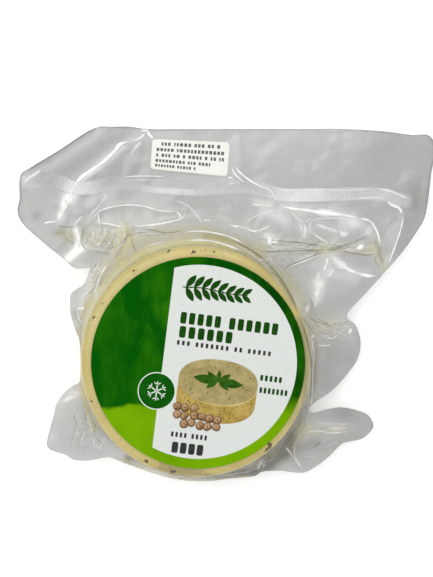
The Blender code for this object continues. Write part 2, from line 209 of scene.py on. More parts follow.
RIGHT_FOLDS = {
    "from_sticker": (0.5, 0.4, 0.95, 0, (
        (231, 165.5), (236, 168), (242, 174.5), (251.5, 181.5), (261, 186.5), (270, 190.5),
        (276.5, 200), (282, 206))),
    "bar_start": (0.4, 0.3, 0.75, 0, ((250, 203.5), (262, 205.5), (276, 206.5))),
    "thick_bar": (0.85, 0.6, 1.0, 0, (
        (276, 205), (291.5, 208.5), (304.5, 210), (320.5, 212.5), (338, 214.5), (352, 216.5),
        (363, 219))),
    "thick_bar_middle": (2.0, 0.6, 1.0, 0, ((300, 210), (318, 212), (336, 213.5), (352, 214.5))),
    "bar_corner": (0.45, 0.4, 0.9, 0, (
        (356, 217.5), (368.5, 220.5), (373, 224.5), (377.5, 233), (379.5, 242.5), (379.5, 249))),
    "inner_pillow": (0.3, 0.3, 0.6, 0, (
        (318, 237), (310.5, 231.5), (311, 222.5), (318, 219), (335, 218), (351, 219), (368, 222))),
    "inner_shine": (0.9, 0.3, 0.45, 0, ((315, 224), (326, 228), (336.5, 231.5), (338, 235))),
    "inner_low": (0.5, 0.3, 0.5, 0, ((312.5, 233), (320.5, 238.5), (330, 244.5))),
    "star_left": (0.25, 0.4, 0.42, 1, ((332.5, 249), (303.5, 243), (282, 241), (255.5, 239))),
    "star_left_low": (0.25, 0.4, 0.42, 1, ((332.5, 249), (299.5, 250.5), (269, 251.5), (254, 249))),
    "star_down": (0.25, 0.4, 0.42, 1, ((326, 250.5), (304.5, 259.5), (280.5, 269.5))),
    "star_down_white": (0.35, 0.4, 0.55, 0, ((325, 252), (304, 261), (288, 267.5))),
    "star_up": (0.3, 0.4, 0.28, 0.9, ((335, 247.5), (352.5, 242.5), (369.5, 234.5))),
    "star_right": (0.3, 0.4, 0.40, 1, ((338, 250.5), (352.5, 253), (365.5, 255), (377.5, 253.5))),
    "star_middle": (0.9, 0.5, 0.4, 0.8, ((326, 249.5), (334, 248.5), (343, 247))),
    "star_spot": (1.5, 0.4, 1.0, 0, ((355, 249.5), (360, 247), (365.5, 244.5))),
    "inner_flag": (1.8, 0.4, 0.8, 0, ((338, 230), (343, 234), (350, 233))),
    "lower_wedge": (2.6, 0.6, 1.0, 0, ((331, 253), (335, 260), (342, 265.5), (352, 270))),
    "lower_curve": (0.9, 0.6, 0.95, 0, (
        (332, 253.5), (336, 261), (341.5, 265.5), (349.5, 270), (357.5, 273), (366, 275.5),
        (379, 276))),
    "seal_top": (0.35, 0.2, 0.65, 0, (
        (268, 189.5), (290, 190), (315, 189.5), (340, 190.5), (362, 189.5), (383, 188.5))),
    "seal_low": (0.4, 0.2, 0.6, 0, ((352, 200), (362, 198), (386, 197.5))),
    "seal_left_top": (0.3, 0.2, 0.55, 0, ((120, 177.5), (140, 176), (168, 176.5))),
    "seal_left_low": (0.25, 0.2, 0.4, 0, ((122, 180.5), (145, 180), (172, 181))),
    "seal_left_third": (0.2, 0.2, 0.35, 0, ((120, 184.3), (134, 184), (149, 184.8))),
    "seal_left_fourth": (0.2, 0.2, 0.3, 0, ((121, 187.2), (137, 187), (150, 187.6))),
    "seal_spots": (0.5, 0.2, 0.85, 0, ((227, 178.5), (231, 177.5), (234, 178))),
    "seal_spots_low": (0.4, 0.2, 0.75, 0, ((227, 184), (232, 183.5), (236, 183.5))),
    "from_sticker_back": (0.4, 0.3, 0.7, 0, ((232, 166), (234, 173), (240, 179), (246, 183))),
    "seal_end": (0.6, 0.2, 0.6, 0, ((375, 189.5), (384, 189.5), (396, 193.5), (410.5, 200))),
    "wing_crease_top": (0.8, 0.4, 0.85, 0, ((386, 200), (392, 205), (399, 208), (402.5, 215))),
    "wing_crease": (0.4, 0.4, 0.9, 0, ((403, 214), (401.5, 225), (396, 242.5), (386, 270))),
    "big_spot": (1.8, 0.4, 1.0, 0, ((319, 283), (317.5, 290), (315.5, 301))),
    "spot_tail": (0.5, 0.3, 0.8, 0, ((317.5, 296), (316, 302), (315, 308))),
    "leaf_stroke": (0.7, 0.3, 0.85, 0, ((327, 256.5), (326.5, 263.5), (323, 272))),
    "short_stroke": (0.7, 0.3, 0.8, 0, ((334, 268), (331.5, 272), (328, 278))),
    "soft_stroke": (1.6, 0.3, 0.6, 0, ((320.5, 268), (318, 277), (316.5, 286))),
    "flag_left": (2.0, 0.4, 1.0, 0, ((267, 233), (270, 240), (269, 249))),
    "flag_right": (1.5, 0.3, 0.9, 0, ((269, 243.5), (275, 241), (281, 239.5))),
    "oval_top": (0.35, 0.2, 0.35, 0, ((243.5, 206.5), (262, 206), (278, 207))),
    "oval_left": (0.35, 0.2, 0.45, 0, (
        (243.5, 228), (249, 220), (259.5, 214.5), (271.5, 210.5), (278, 214))),
    "oval_low": (0.5, 0.2, 0.4, 0, ((246, 230.5), (258, 230.5), (271.5, 225))),
    "fork_left": (0.5, 0.3, 0.4, 0, ((290, 210.5), (299.5, 220), (304.5, 223))),
    "fork_down": (0.7, 0.3, 0.45, 0, ((304.5, 223), (305, 231), (303.5, 239.5))),
    "fork_right": (0.4, 0.3, 0.4, 0, ((312, 217.5), (308, 220.5), (304.5, 223))),
    "beside_fork": (0.3, 0.2, 0.3, 0, ((292.5, 216), (300.5, 225), (302.5, 234.5))),
    "star_to_edge": (0.35, 0.3, 0.35, 0.7, ((377.5, 253.5), (375, 260), (381, 268))),
    "edge_tint": (0.9, 0.2, 0.25, 0.8, ((372, 240), (378, 246), (380, 256), (384, 266))),
}
LOBE_FOLDS = {
    "right_streak": (1.5, 0.3, 0.75, 0, ((308.5, 302.5), (307, 309.5), (306, 315.5))),
    "right_blob": (1.4, 0.4, 0.9, 0, ((314.5, 333), (313, 336), (310.5, 338.5))),
    "right_zigzag": (0.4, 0.3, 0.7, 0, ((310, 339.5), (312.5, 343), (312, 350.5))),
    "right_line": (0.4, 0.3, 0.6, 0, ((315.5, 345), (323.5, 345.5), (332, 344.5))),
    "right_spot": (0.9, 0.3, 0.85, 0, ((351.5, 327.5), (350, 331), (348, 334))),
    "right_fan_1": (0.3, 0.3, 0.5, 0.2, ((354.5, 323.5), (345, 328.5), (335.5, 336), (332, 339.5))),
    "right_fan_2": (0.3, 0.3, 0.5, 0.4, ((337.5, 324), (332, 331), (321, 337))),
    "right_fan_3": (0.25, 0.3, 0.3, 0.8, ((306.5, 315.5), (316, 321.5), (332, 324), (345, 321.5))),
    "right_fan_4": (0.3, 0.3, 0.4, 0.9, ((302, 315.5), (308, 325), (315, 334.5))),
    "right_fan_5": (0.3, 0.3, 0.5, 0.1, ((318, 333.5), (327, 337.5), (338, 338))),
    "right_fan_6": (0.3, 0.3, 0.45, 0.3, ((352, 319), (342, 321.5), (334, 325.5))),
    "pleat_bright": (0.45, 0.4, 0.5, 0.15, ((302, 432.5), (318.5, 431), (332, 433), (351, 431))),
    "pleat_above": (0.5, 0.3, 0.18, 0, ((312, 421), (330, 424), (350, 424))),
    "tuck_1": (0.35, 0.3, 0.45, 0.4, ((308.5, 421), (302, 431.5), (297, 439), (294.5, 447.5))),
    "tuck_2": (0.5, 0.4, 0.6, 0.2, ((284.5, 446), (293.5, 457), (303.5, 470))),
    "tuck_3": (0.4, 0.4, 0.5, 0.3, ((294.5, 442), (295, 455.5), (303, 467.5))),
    "zip_left": (0.35, 0.3, 0.7, 0, ((268.5, 454.5), (261.5, 461.5), (258, 471))),
    "zip_right": (0.25, 0.3, 0.5, 0.7, ((265.5, 452.5), (259, 460.5), (256, 470.5))),
    "lobe_edge": (0.5, 0.3, 0.45, 0.5, ((342.5, 439), (332, 449.5), (318.5, 460.5), (304, 470))),
    "lobe_soft": (1.4, 0.3, 0.20, 0, ((321, 427), (337.5, 428.5), (351, 427))),
    "left_lobe_bright": (1.8, 0.5, 0.9, 0, ((60, 402.5), (69.5, 398), (80, 393.5))),
    "left_fan_1": (0.4, 0.3, 0.5, 0.5, ((82, 400.5), (84.5, 414.5), (78.5, 441.5), (74.5, 451.5))),
    "left_fan_2": (0.4, 0.3, 0.5, 0.2, ((88.5, 411), (91, 426), (96, 451.5))),
    "left_fan_3": (0.35, 0.3, 0.5, 0.2, ((106.5, 436.5), (102, 444), (98.5, 451.5))),
    "left_fan_4": (0.3, 0.3, 0.35, 0.5, ((78.5, 418.5), (72, 436.5), (70.5, 449))),
    "left_fan_5": (0.3, 0.3, 0.35, 0.3, ((84, 414.5), (77, 430), (73.5, 451.5))),
}
ALL_FOLDS = (LIP_FOLDS, POCKET_FOLDS, EDGE_FOLDS, RIGHT_FOLDS, LOBE_FOLDS)

# Painted light and painted shade on the film: half width in mm, strength, photo pixels along it
SOFT_AREAS = {
    "diagonal_glow": (2.6, 0.45, ((132, 141), (112, 154), (86, 176), (72, 196))),
    "diagonal_tail_glow": (3.0, 0.35, ((72, 190), (66, 206), (60, 220))),
    "corner_glow": (1.4, 0.16, ((98, 134), (88, 142), (60, 158), (36, 174))),
    "wing_dark_outer": (2.4, -0.44, ((90, 131), (60, 149), (32, 168))),
    "wing_dark_inner": (4.5, -0.44, ((124, 134), (100, 147), (72, 165), (50, 180))),
    "wing_low": (7.0, -0.18, ((28, 200), (34, 222), (56, 244))),
    "glare_core": (2.1, 0.9, ((81, 247), (75, 252), (68, 258))),
    "glare_wide": (3.6, 0.32, ((80, 250), (73, 256), (68, 260))),
    "glare_up": (1.6, 0.85, ((76.5, 230), (78, 238), (79, 246))),
    "pillow_inside": (4.0, 0.10, ((110, 217), (140, 216), (170, 217))),
    "seal_field": (2.6, 0.06, ((120, 182), (180, 186), (240, 188))),
    "bar_glow": (2.6, 0.40, ((283, 207), (320, 212), (352, 216))),
    "bar_field": (3.0, 0.08, ((250, 196), (292, 200), (320, 204))),
    "curve_glow": (2.4, 0.35, ((333, 256), (345, 268), (366, 275))),
    "spot_glow": (2.6, 0.62, ((319, 285), (317, 298))),
    "leaf_glow": (4.0, 0.30, ((326, 260), (320, 280))),
    "flag_glow": (2.6, 0.62, ((268, 236), (273, 243))),
    "fork_glow": (3.4, 0.28, ((300, 219), (305, 232))),
    "pocket_glow": (3.4, 0.16, ((96, 226), (118, 230))),
    "inner_glow": (2.8, 0.30, ((318, 225), (340, 232), (356, 226))),
    "left_lobe_glow": (3.0, 0.30, ((60, 402), (78, 394))),
    "left_lobe_middle": (3.0, 0.14, ((100, 414), (92, 405))),
    "lobe_glow": (3.5, 0.08, ((325, 428), (352, 427))),
    "right_strip_dark": (5.0, -0.30, ((418, 200), (410, 230), (402, 248))),
    "lip_right_dark": (11.0, -0.24, ((380, 150), (425, 150), (420, 190))),
    "right_lobe_dark": (9.0, -0.34, ((334, 352), (325, 380), (350, 384))),
    "lobe_tip_dark": (7.0, -0.30, ((345, 412), (366, 425), (340, 445))),
    "lobe_root_dark": (4.6, -0.54, ((300, 412), (290, 440), (268, 462))),
    "lobe_root_core": (3.0, -0.50, ((292, 438), (281, 455), (268, 470))),
    "lobe_low_dark": (5.0, -0.22, ((318, 450), (300, 462))),
    "bottom_dark": (2.0, -0.95, (
        (128, 459), (147, 466.5), (174, 475), (202, 478), (226, 476.5), (252, 472))),
    "wall_shade": (1.5, -0.52, (
        (205, 236), (220, 239), (234, 244), (250, 252), (266, 264), (281, 280), (293, 299))),
    "right_rim_dark": (1.1, -0.45, ((299, 318), (304, 336), (306.5, 356), (306.5, 380), (304, 402))),
    "left_fin_dark": (2.4, -0.34, ((78, 288), (74, 300), (77, 320), (79, 345))),
    "left_side_dark": (1.2, -0.22, ((86, 305), (82, 330), (81, 360), (83, 388))),
    "wing_root_dark": (2.4, -0.24, ((58, 231), (72, 238))),
    "lobe_top_dark": (4.5, -0.20, ((308, 413), (325, 413), (346, 415))),
    "lobe_low_core": (2.6, -0.34, ((287, 456), (297, 450), (314, 442))),
    "top_hug_glow": (1.2, 0.16, ((150, 251), (168, 245.5), (184, 243), (200, 242), (216, 243.3))),
    "bottom_core": (1.5, -0.9, ((160, 468), (174, 471.5), (200, 474), (228, 473.5), (246, 470.5))),
    "right_lobe_edge": (3.0, -0.22, ((357, 322), (360, 342), (350, 364))),
    "wing_low_dark": (4.5, -0.16, ((320, 310), (342, 301), (366, 286))),
    "tent_dark": (1.8, -0.32, ((304, 322), (312, 345), (314, 375), (312, 405))),
    "zip_dark": (3.0, -0.62, ((264, 458), (257, 470))),
    "left_lip_dark": (18.0, -0.16, ((28, 200), (60, 190), (110, 168), (150, 160))),
    "patch_glow": (2.2, 0.45, ((66, 198), (62, 212))),
    "oval_glow": (3.4, 0.50, ((264, 208), (273, 214), (284, 220))),
    "wedge_low_glow": (2.8, 0.36, ((330, 272), (342, 277), (354, 280))),
    "pillow_corner_glow": (2.2, 0.34, ((342, 222), (362, 224), (371, 234))),
    "below_band_glow": (3.0, 0.26, ((78, 207), (92, 201), (104, 196))),
    "diagonal_core_glow": (1.7, 0.40, ((122, 147), (112, 156), (98, 168))),
    "left_root_dark": (3.0, -0.32, ((80, 385), (95, 425), (124, 452))),
}

# Fields of fine random creases: centre and radii in photo pixels, how many, mean direction
# and spread in degrees, half width in mm, strength of their painted highlight, olive share of
# painted shade
CREASED_FIELDS = {
    "pocket": ((104, 239), (19, 11), 40, 70, 60, 0.20, 0.40, 0.20),
    "roll": ((122, 243), (8, 15), 12, 72, 10, 0.16, 0.30, 0.10),
    "left_hug": ((96, 281), (6, 20), 34, 62, 18, 0.20, 0.60, 0.22),
    "star": ((325, 248), (52, 7), 40, 4, 14, 0.18, 0.36, 0.3),
    "cheese_to_star": ((268, 252), (18, 12), 26, 158, 30, 0.18, 0.38, 0.25),
    "right_crumple": ((333, 329), (20, 10), 54, 168, 34, 0.18, 0.46, 0.18),
    "right_hug": ((311, 322), (6, 20), 26, 112, 20, 0.18, 0.42, 0.30),
    "tent_foot": ((306, 395), (5, 34), 20, 88, 16, 0.2, 0.35, 0.5),
    "left_fan": ((84, 430), (15, 22), 20, 98, 14, 0.24, 0.30, 0.35),
    "lobe": ((322, 442), (22, 16), 18, 25, 25, 0.25, 0.25, 0.4),
    "bottom_left": ((139, 465), (26, 4), 30, -20, 12, 0.16, 0.32, 0.6),
    "bottom": ((205, 478), (46, 3), 40, 0, 10, 0.16, 0.32, 0.6),
    "zip": ((262, 462), (5, 9), 22, 60, 20, 0.20, 0.60, 0.3),
    "upper_right_hug": ((280, 266), (18, 14), 26, -48, 12, 0.18, 0.36, 0.40),
    "left_rim": ((81, 330), (4, 30), 14, 80, 10, 0.18, 0.45, 0.2),
    "left_low_rim": ((95, 428), (12, 22), 16, -64, 14, 0.20, 0.34, 0.25),
    "above_cheese": ((160, 233), (30, 4), 12, 4, 10, 0.18, 0.25, 0.5),
}
FOLD_SEED = 11

# Fields stronger than this also crumple the film, over a share of their size
CRUMPLED_OVER = 0.28
CRUMPLE_SHARE = 0.8
MM_PER_PIXEL = 0.43

# Distances in mm that creases keep from the bag's cut edge and from the cheese, the height
# over which a fold also lifts the film, and the profiles of slim ridges and of wide soft ones
EDGE_MARGIN = 0.5
CLEAR_OF_CHEESE = 0.5
RELIEF_OVER = 0.26
WIDE_STROKE = 1.0
RIDGE_PLACES = (-1.0, -0.62, 0.0, 0.62, 1.0)
RIDGE_CROWN = (0.0, 0.88, 1.0, 0.88, 0.0)
SOFT_STROKE = 1.0
SOFT_CROWN = (0.0, 0.42, 1.0, 0.42, 0.0)

# How much a tinted area thickens the film's veil
STAIN_VEIL = 1.15

# Areas where the film is tinted yellow by the cheese or by its own crumpled layers, each as
# half width in mm, strength, photo pixels along it
STAINED_AREAS = {
    "pocket": (4.4, 0.42, ((92, 238), (104, 238), (114, 240))),
    "wing_root": (2.6, 0.45, ((62, 233), (72, 238))),
    "roll": (3.0, 0.80, ((125, 231), (124, 245), (118, 258))),
    "wall_stain": (1.8, 0.85, (
        (212, 239), (231, 244), (250, 253), (266, 265), (281, 281), (293, 301))),
    "top_hug": (1.7, 1.0, (
        (138, 258), (152, 250.5), (168, 245.5), (184, 243), (200, 242), (216, 243.3), (231, 247))),
    "right_rim": (1.2, 0.8, ((299, 318), (304, 336), (306.5, 356), (306.5, 380), (304, 402))),
    "left_hug_rim": (1.9, 1.0, ((150, 249), (131, 260), (113, 275), (95, 300), (84, 331))),
    "left_hug": (2.8, 0.6, ((106, 266), (97, 284), (92, 300))),
    "above_cheese": (3.2, 0.40, ((132, 242), (160, 235), (200, 232))),
    "above_cheese_right": (2.2, 0.35, ((205, 232), (235, 240), (262, 252))),
    "cheese_to_star": (3.0, 0.24, ((258, 245), (285, 248), (325, 249))),
    "star": (2.4, 0.36, ((322, 250), (345, 248), (372, 250))),
    "star_edge": (2.6, 0.34, ((376, 246), (380, 258), (386, 268))),
    "right_side": (2.4, 0.50, ((285, 275), (300, 300), (308, 330), (312, 360), (310, 400))),
    "right_crumple": (4.0, 0.34, ((316, 328), (334, 326))),
    "lower_right": (3.4, 0.55, ((302, 425), (292, 445), (272, 458))),
    "pleat": (2.2, 0.30, ((308, 431), (345, 431))),
    "bottom": (2.2, 0.85, ((125, 462), (160, 474), (200, 480), (245, 474))),
    "zip": (2.4, 0.90, ((266, 456), (258, 466))),
    "left_side": (1.4, 0.9, ((90, 302), (84, 310), (80, 345), (81, 385), (95, 430))),
}

# Welded seal band across the lip: photo pixels along its middle, brightness of its painted
# glints, and the share of it that the band's upper half has
SEAL_LINE = (
    (22, 183, 0.8, 1.0), (40, 181, 0.10, 1.0), (60, 182, 0.20, 1.0), (72, 187, 0.75, 1.0),
    (86, 188, 0.75, 1.0), (98, 186, 0.45, 1.0), (112, 183, 0.14, 0.6), (128, 184, 0.18, 0.3),
    (148, 186, 0.35, 0.1), (160, 187, 0.62, 0.1), (188, 189, 0.62, 0.1), (202, 189, 0.34, 0.2),
    (235, 187, 0.24, 0.5), (255, 188, 0.30, 0.8), (272, 192, 0.50, 1.0), (286, 195, 0.95, 1.0),
    (318, 195, 1.0, 1.0), (332, 194.5, 0.55, 1.0), (350, 194, 0.40, 1.0), (378, 194, 0.38, 1.0),
    (395, 198, 0.38, 1.0), (412, 203, 0.22, 1.0),
)
SEAL_HALF_HEIGHT = 2.9
SEAL_PITCH = 1.12
SEAL_LIFT = 0.30
SEAL_RELIEF = 0.10
SEAL_ROWS = 28
SEAL_THICKNESS = 0.04

# Label print, in the label's own upright millimetres before it is turned
LABEL_TURN = math.radians(-7.2)
LABEL_CENTRE = (1.0, -0.1)
LABEL_TOP = 32.8
PRINT_STEP = 0.03
PANEL_RADIUS = 41.6
PANEL_CENTRE = (0.2, 0.5)
PANEL_LEFT = -14.9
FIELD_RADIUS = 45.35
BADGE_CENTRE = (-16.0, -13.8)
BADGE_RADIUS = 8.1
BEAN_ROWS = ((-6.6, -19.4, 3), (-6.2, -22.8, 6), (-3.0, -26.0, 5))
PICTURED_LEAVES = ((-4, 5.3), (176, 5.3), (38, 3.2), (142, 3.2), (-38, 3.0), (218, 3.0), (90, 2.6))

# Date sticker on the lip
STICKER_CENTRE = (-2.6, 87.1)
STICKER_SIZE = (33.6, 14.0)
STICKER_TURN = math.radians(-4.2)
STICKER_TAPER = 0.07
STICKER_CORNER = 1.6
STICKER_LIFT = 0.45
STICKER_ROWS = ((4.9, -12.6, 12.8, 1.45), (2.3, -14.6, 14.2, 1.4), (-0.2, -14.6, 15.0, 1.4),
                (-2.7, -14.8, 9.2, 1.3), (-4.9, -14.8, 3.6, 1.2))

# The hill line between dark green and lime, as shares of the label's width and of its height
HILL_ENDS = (0.22, 0.71)
HILL_LINE = (
    (0.089, 0.236), (0.172, 0.288), (0.227, 0.376), (0.322, 0.368), (0.5, 0.45), (0.967, 0.70),
)

# Film colours: far from the cheese in two tones, near it with painted light, tinted by it, lit and
# shaded
FILM_FAR = ((0.350, 0.355, 0.355), (0.405, 0.41, 0.405))
FILM_NEAR_LIT = (0.56, 0.565, 0.555)
FILM_TINTED = (0.60, 0.555, 0.19)
FILM_LIT = (0.95, 0.96, 0.94)
FILM_SHADED = (0.11, 0.105, 0.085)

# How opaque the film is: plain, and what its painted light and painted shade add
FILM_OPACITY = 0.50
LIT_OPACITY = 0.55
SHADED_OPACITY = 0.30

# Floor and light: each lamp as name, place and size in metres, and watts
FLOOR_GLOW = 0.22
FLOOR_SIZE = 2500.0
SKY_STRENGTH = 0.74
LAMPS = (("soft_box", (-0.35, 0.30, 1.0), 0.9, 4.6), ("window", (0.30, 0.75, 0.70), 0.18, 1.2))

# Seeds of the random draws, and the height that the film keeps over the floor
FLECK_SEED = 5
PICTURED_SEED = 21
STICKER_SEED = 3
OVER_FLOOR = 0.05


# Shapes and numbers


def smooth_step(value):
    value = np.clip(value, 0.0, 1.0)
    return value * value * (3.0 - 2.0 * value)


def finished(bm, name, material, smooth=True, oval=False):
    """Turn a bmesh in millimetres into an object in metres, with its faces outward."""
    bmesh.ops.recalc_face_normals(bm, faces=bm.faces[:])
    bmesh.ops.scale(bm, vec=(MM, MM * OVAL if oval else MM, MM), verts=bm.verts[:])
    mesh = bpy.data.meshes.new(name)
    bm.to_mesh(mesh)
    bm.free()
    for finish in material if isinstance(material, (list, tuple)) else (material,):
        mesh.materials.append(finish)
    if smooth:
        mesh.shade_smooth()
    piece = bpy.data.objects.new(name, mesh)
    bpy.context.scene.collection.objects.link(piece)
    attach(piece, "root")
    return piece


def curve_through(points, step):
    """Points about `step` apart on a smooth curve through the given points."""
    points = np.asarray(points, dtype=float)
    padded = np.vstack((2 * points[0] - points[1], points, 2 * points[-1] - points[-2]))
    out = []
    for index in range(len(points) - 1):
        a, b, c, d = padded[index:index + 4]
        count = max(int(np.linalg.norm((c - b)[:2]) / step), 1)
        t = np.arange(count)[:, None] / count
        out.append(0.5 * (2 * b + (c - a) * t + (2 * a - 5 * b + 4 * c - d) * t ** 2
                          + (3 * b - a - 3 * c + d) * t ** 3))
    out.append(points[-1:])
    return np.vstack(out)


def side_normals(line):
    """For each point of a line in the plane, the unit direction to its left."""
    tangent = np.gradient(line[:, :2], axis=0)
    tangent /= np.maximum(np.hypot(tangent[:, 0], tangent[:, 1]), 1e-6)[:, None]
    return np.column_stack((-tangent[:, 1], tangent[:, 0]))


def spin_section(bm, chain, steps):
    """Join a chain of vertices by edges and turn it full circle about Z, closed at its poles."""
    for first, second in zip(chain, chain[1:]):
        bm.edges.new((first, second))
    bmesh.ops.spin(bm, geom=bm.verts[:] + bm.edges[:], cent=(0, 0, 0), axis=(0, 0, 1),
                   dvec=(0, 0, 0), angle=math.tau, steps=steps, use_merge=True)
    bmesh.ops.remove_doubles(bm, verts=bm.verts[:], dist=0.001)


def distance_to_line(x, y, line):
    """Distance in the plane from many points to one polyline."""
    best = np.full(x.shape, 1e9)
    for (ax, ay), (bx, by) in zip(line[:-1, :2], line[1:, :2]):
        length = max((bx - ax) ** 2 + (by - ay) ** 2, 1e-9)
        t = np.clip(((x - ax) * (bx - ax) + (y - ay) * (by - ay)) / length, 0.0, 1.0)
        best = np.minimum(best, np.hypot(x - ax - t * (bx - ax), y - ay - t * (by - ay)))
    return best


# Film heights, all as functions of the place


def area_sum(areas, x, y):
    """Soft areas added up, from minus one to one."""
    total = np.zeros(len(x))
    for width, strength, line in areas:
        total += strength * np.exp(-(distance_to_line(x, y, line) / width) ** 2)
    return np.clip(total, -1.0, 1.0)


def tent_width(x, y):
    angles = np.degrees(np.arctan2(y, x))
    return np.interp(angles, [row[0] for row in TENT_WIDTHS], [row[1] for row in TENT_WIDTHS])


def seam_height(x, y):
    out = np.maximum(np.hypot(x, y) - WALL_RADIUS, 0.0)
    lip = smooth_step((y - LIP_START) / (LIP_FULL - LIP_START))
    return SEAM_AT_WALL + out * (LIP_RISE * lip - LOBE_FALL * (1.0 - lip))


def resting_top(x, y):
    """Height of the upper film before its folds."""
    radius = np.hypot(x, y)
    edge = TOP_EDGE + FILM_ON_CHEESE
    along = np.clip(radius - (CHEESE_RADIUS - TOP_EDGE), 0.0, edge)
    on_cheese = TENT_TOP + np.sqrt(np.maximum(edge ** 2 - along ** 2, 0.0))
    out = np.maximum(radius - WALL_RADIUS, 0.0)
    seam = seam_height(x, y) + SEAM_GAP / 2.0
    tent = np.maximum(1.0 - out / tent_width(x, y), 0.0) ** 2
    return np.where(radius < WALL_RADIUS, on_cheese, seam + (TENT_TOP - seam) * tent)


def resting_under(x, y):
    """Height of the lower film before its folds."""
    radius = np.hypot(x, y)
    edge = BOTTOM_EDGE + FILM_UNDER_CHEESE
    along = np.clip(radius - (CHEESE_RADIUS - BOTTOM_EDGE), 0.0, edge)
    on_floor = TENT_FOOT - np.sqrt(np.maximum(edge ** 2 - along ** 2, 0.0))
    wall = CHEESE_RADIUS + FILM_UNDER_CHEESE
    out = np.maximum(radius - wall, 0.0)
    seam = seam_height(x, y) - SEAM_GAP / 2.0
    tent = np.maximum(1.0 - out / (0.5 * tent_width(x, y)), 0.0) ** 2
    return np.where(radius < wall, on_floor, seam + (TENT_FOOT - seam) * tent)


def place_on_film(pixels):
    """Where the camera's rays through photo pixels meet the upper film, before the oval stretch."""
    pixels = np.asarray(pixels, dtype=float)
    right = pixels[:, 0] - PHOTO_WIDTH / 2.0
    up = PHOTO_HEIGHT / 2.0 - pixels[:, 1]
    sine, cosine = math.sin(CAMERA_TILT), math.cos(CAMERA_TILT)
    ray_x = right / FOCAL_PIXELS
    ray_y = up * cosine / FOCAL_PIXELS - sine
    ray_z = -up * sine / FOCAL_PIXELS - cosine
    height = np.full(len(pixels), SEAM_AT_WALL)
    for _ in range(24):
        reach = (height - CAMERA_PLACE[2]) / ray_z
        x = CAMERA_PLACE[0] + reach * ray_x
        y = (CAMERA_PLACE[1] + reach * ray_y) / OVAL
        height = height + 0.35 * (resting_top(x, y) - height)
    return np.column_stack((x, y))


def edge_rays():
    """For each step round the bag, where its film leaves the cheese and the cut edge point."""
    rows = np.array(CUT_EDGE + tuple((a + 360, x, y) for a, x, y in CUT_EDGE[:1]), dtype=float)
    rows[:, 2] /= OVAL
    fine = curve_through(rows[:, 1:], 0.25)
    landmark = np.zeros(len(rows), dtype=int)
    for index, (_, x, y) in enumerate(rows):
        start = landmark[index - 1] if index else 0
        landmark[index] = start + np.argmin(np.hypot(fine[start:start + 200, 0] - x,
                                                     fine[start:start + 200, 1] - y / OVAL))
    landmark[-1] = len(fine) - 1
    angles = np.radians(np.interp(np.arange(len(fine)), landmark, rows[:, 0]))
    stride = np.hypot(*np.diff(fine, axis=0).T)
    turn = np.abs(np.diff(angles)) * WALL_RADIUS
    travelled = np.concatenate(([0.0], np.cumsum(np.sqrt(stride ** 2 + turn ** 2))))
    even = np.linspace(0.0, travelled[-1], FILM_STEPS, endpoint=False)
    return (np.interp(even, travelled, angles), np.interp(even, travelled, fine[:, 0]),
            np.interp(even, travelled, fine[:, 1]))


def inside_bag(line):
    """The part of a crease that lies clearly inside the cut edge."""
    _, edge_x, edge_y = EDGE_RAYS
    ring = np.column_stack((np.append(edge_x, edge_x[0]), np.append(edge_y, edge_y[0])))
    within = np.zeros(len(line), dtype=bool)
    for (ax, ay), (bx, by) in zip(ring[:-1], ring[1:]):
        crosses = (ay > line[:, 1]) != (by > line[:, 1])
        if crosses.any():
            at = ax + (line[:, 1] - ay) / (by - ay if by != ay else 1e-9) * (bx - ax)
            within ^= crosses & (line[:, 0] < at)
    return line[within & (distance_to_line(line[:, 0], line[:, 1], ring) > EDGE_MARGIN)]


def random_creases():
    """Short seeded creases of the creased fields, in the same form as the named folds."""
    draw = random.Random(FOLD_SEED)
    creases = []
    for centre, radii, count, direction, spread, half_width, strength, olive in CREASED_FIELDS.values():
        for _ in range(count):
            turn = draw.uniform(0.0, math.tau)
            far = math.sqrt(draw.random())
            middle = Vector((centre[0] + radii[0] * far * math.cos(turn),
                             centre[1] + radii[1] * far * math.sin(turn)))
            lean = math.radians(direction + draw.uniform(-spread, spread))
            length = draw.uniform(0.25, 0.75) * max(radii) * 0.5 + 1.5
            along = Vector((math.cos(lean), -math.sin(lean))) * length
            across = Vector((along.y, along.x)) * draw.uniform(-0.2, 0.2)
            points = (middle - along, middle + across, middle + along)
            olive_shade = min(max(olive + draw.uniform(-0.5, 0.5), 0.0), 1.0)
            creases.append((half_width * draw.uniform(0.7, 1.4), 0.25,
                            strength * draw.uniform(0.5, 1.3), olive_shade,
                            tuple((point.x, point.y) for point in points)))
    return creases


def laid_folds():
    """Every fold as (half width, height, painted highlight, olive shade, smooth line on the film in mm).
    """
    named = [fold for group in ALL_FOLDS for fold in group.values()]
    laid = []
    for index, (half_width, height, white, olive_shade, pixels) in enumerate(named + random_creases()):
        line = inside_bag(curve_through(place_on_film(pixels), 0.7))
        if index >= len(named):
            line = line[np.hypot(line[:, 0], line[:, 1]) > CHEESE_RADIUS + CLEAR_OF_CHEESE]
        if len(line) > 2:
            laid.append((half_width, height, white, olive_shade, line))
    return laid


def area_lines(areas):
    """Each soft area as half width, strength and its smooth line on the film."""
    return [(width, strength, curve_through(place_on_film(pixels), 3.0))
            for width, strength, pixels in areas.values()]


def crumpled_fields():
    """Middle and radii in mm of the fields that are creased strongly enough to crumple."""
    return [(place_on_film([field[0]])[0], np.array(field[1]) * MM_PER_PIXEL * CRUMPLE_SHARE)
            for field in CREASED_FIELDS.values() if field[6] > CRUMPLED_OVER]


EDGE_RAYS = edge_rays()
FOLDS = laid_folds()
RELIEF_LINES = [(half_width, height, line[::2]) for half_width, height, white, olive_shade, line in FOLDS
                if height > RELIEF_OVER]
SOFT_LINES = area_lines(SOFT_AREAS)
STAIN_LINES = area_lines(STAINED_AREAS)
CRUMPLED = crumpled_fields()


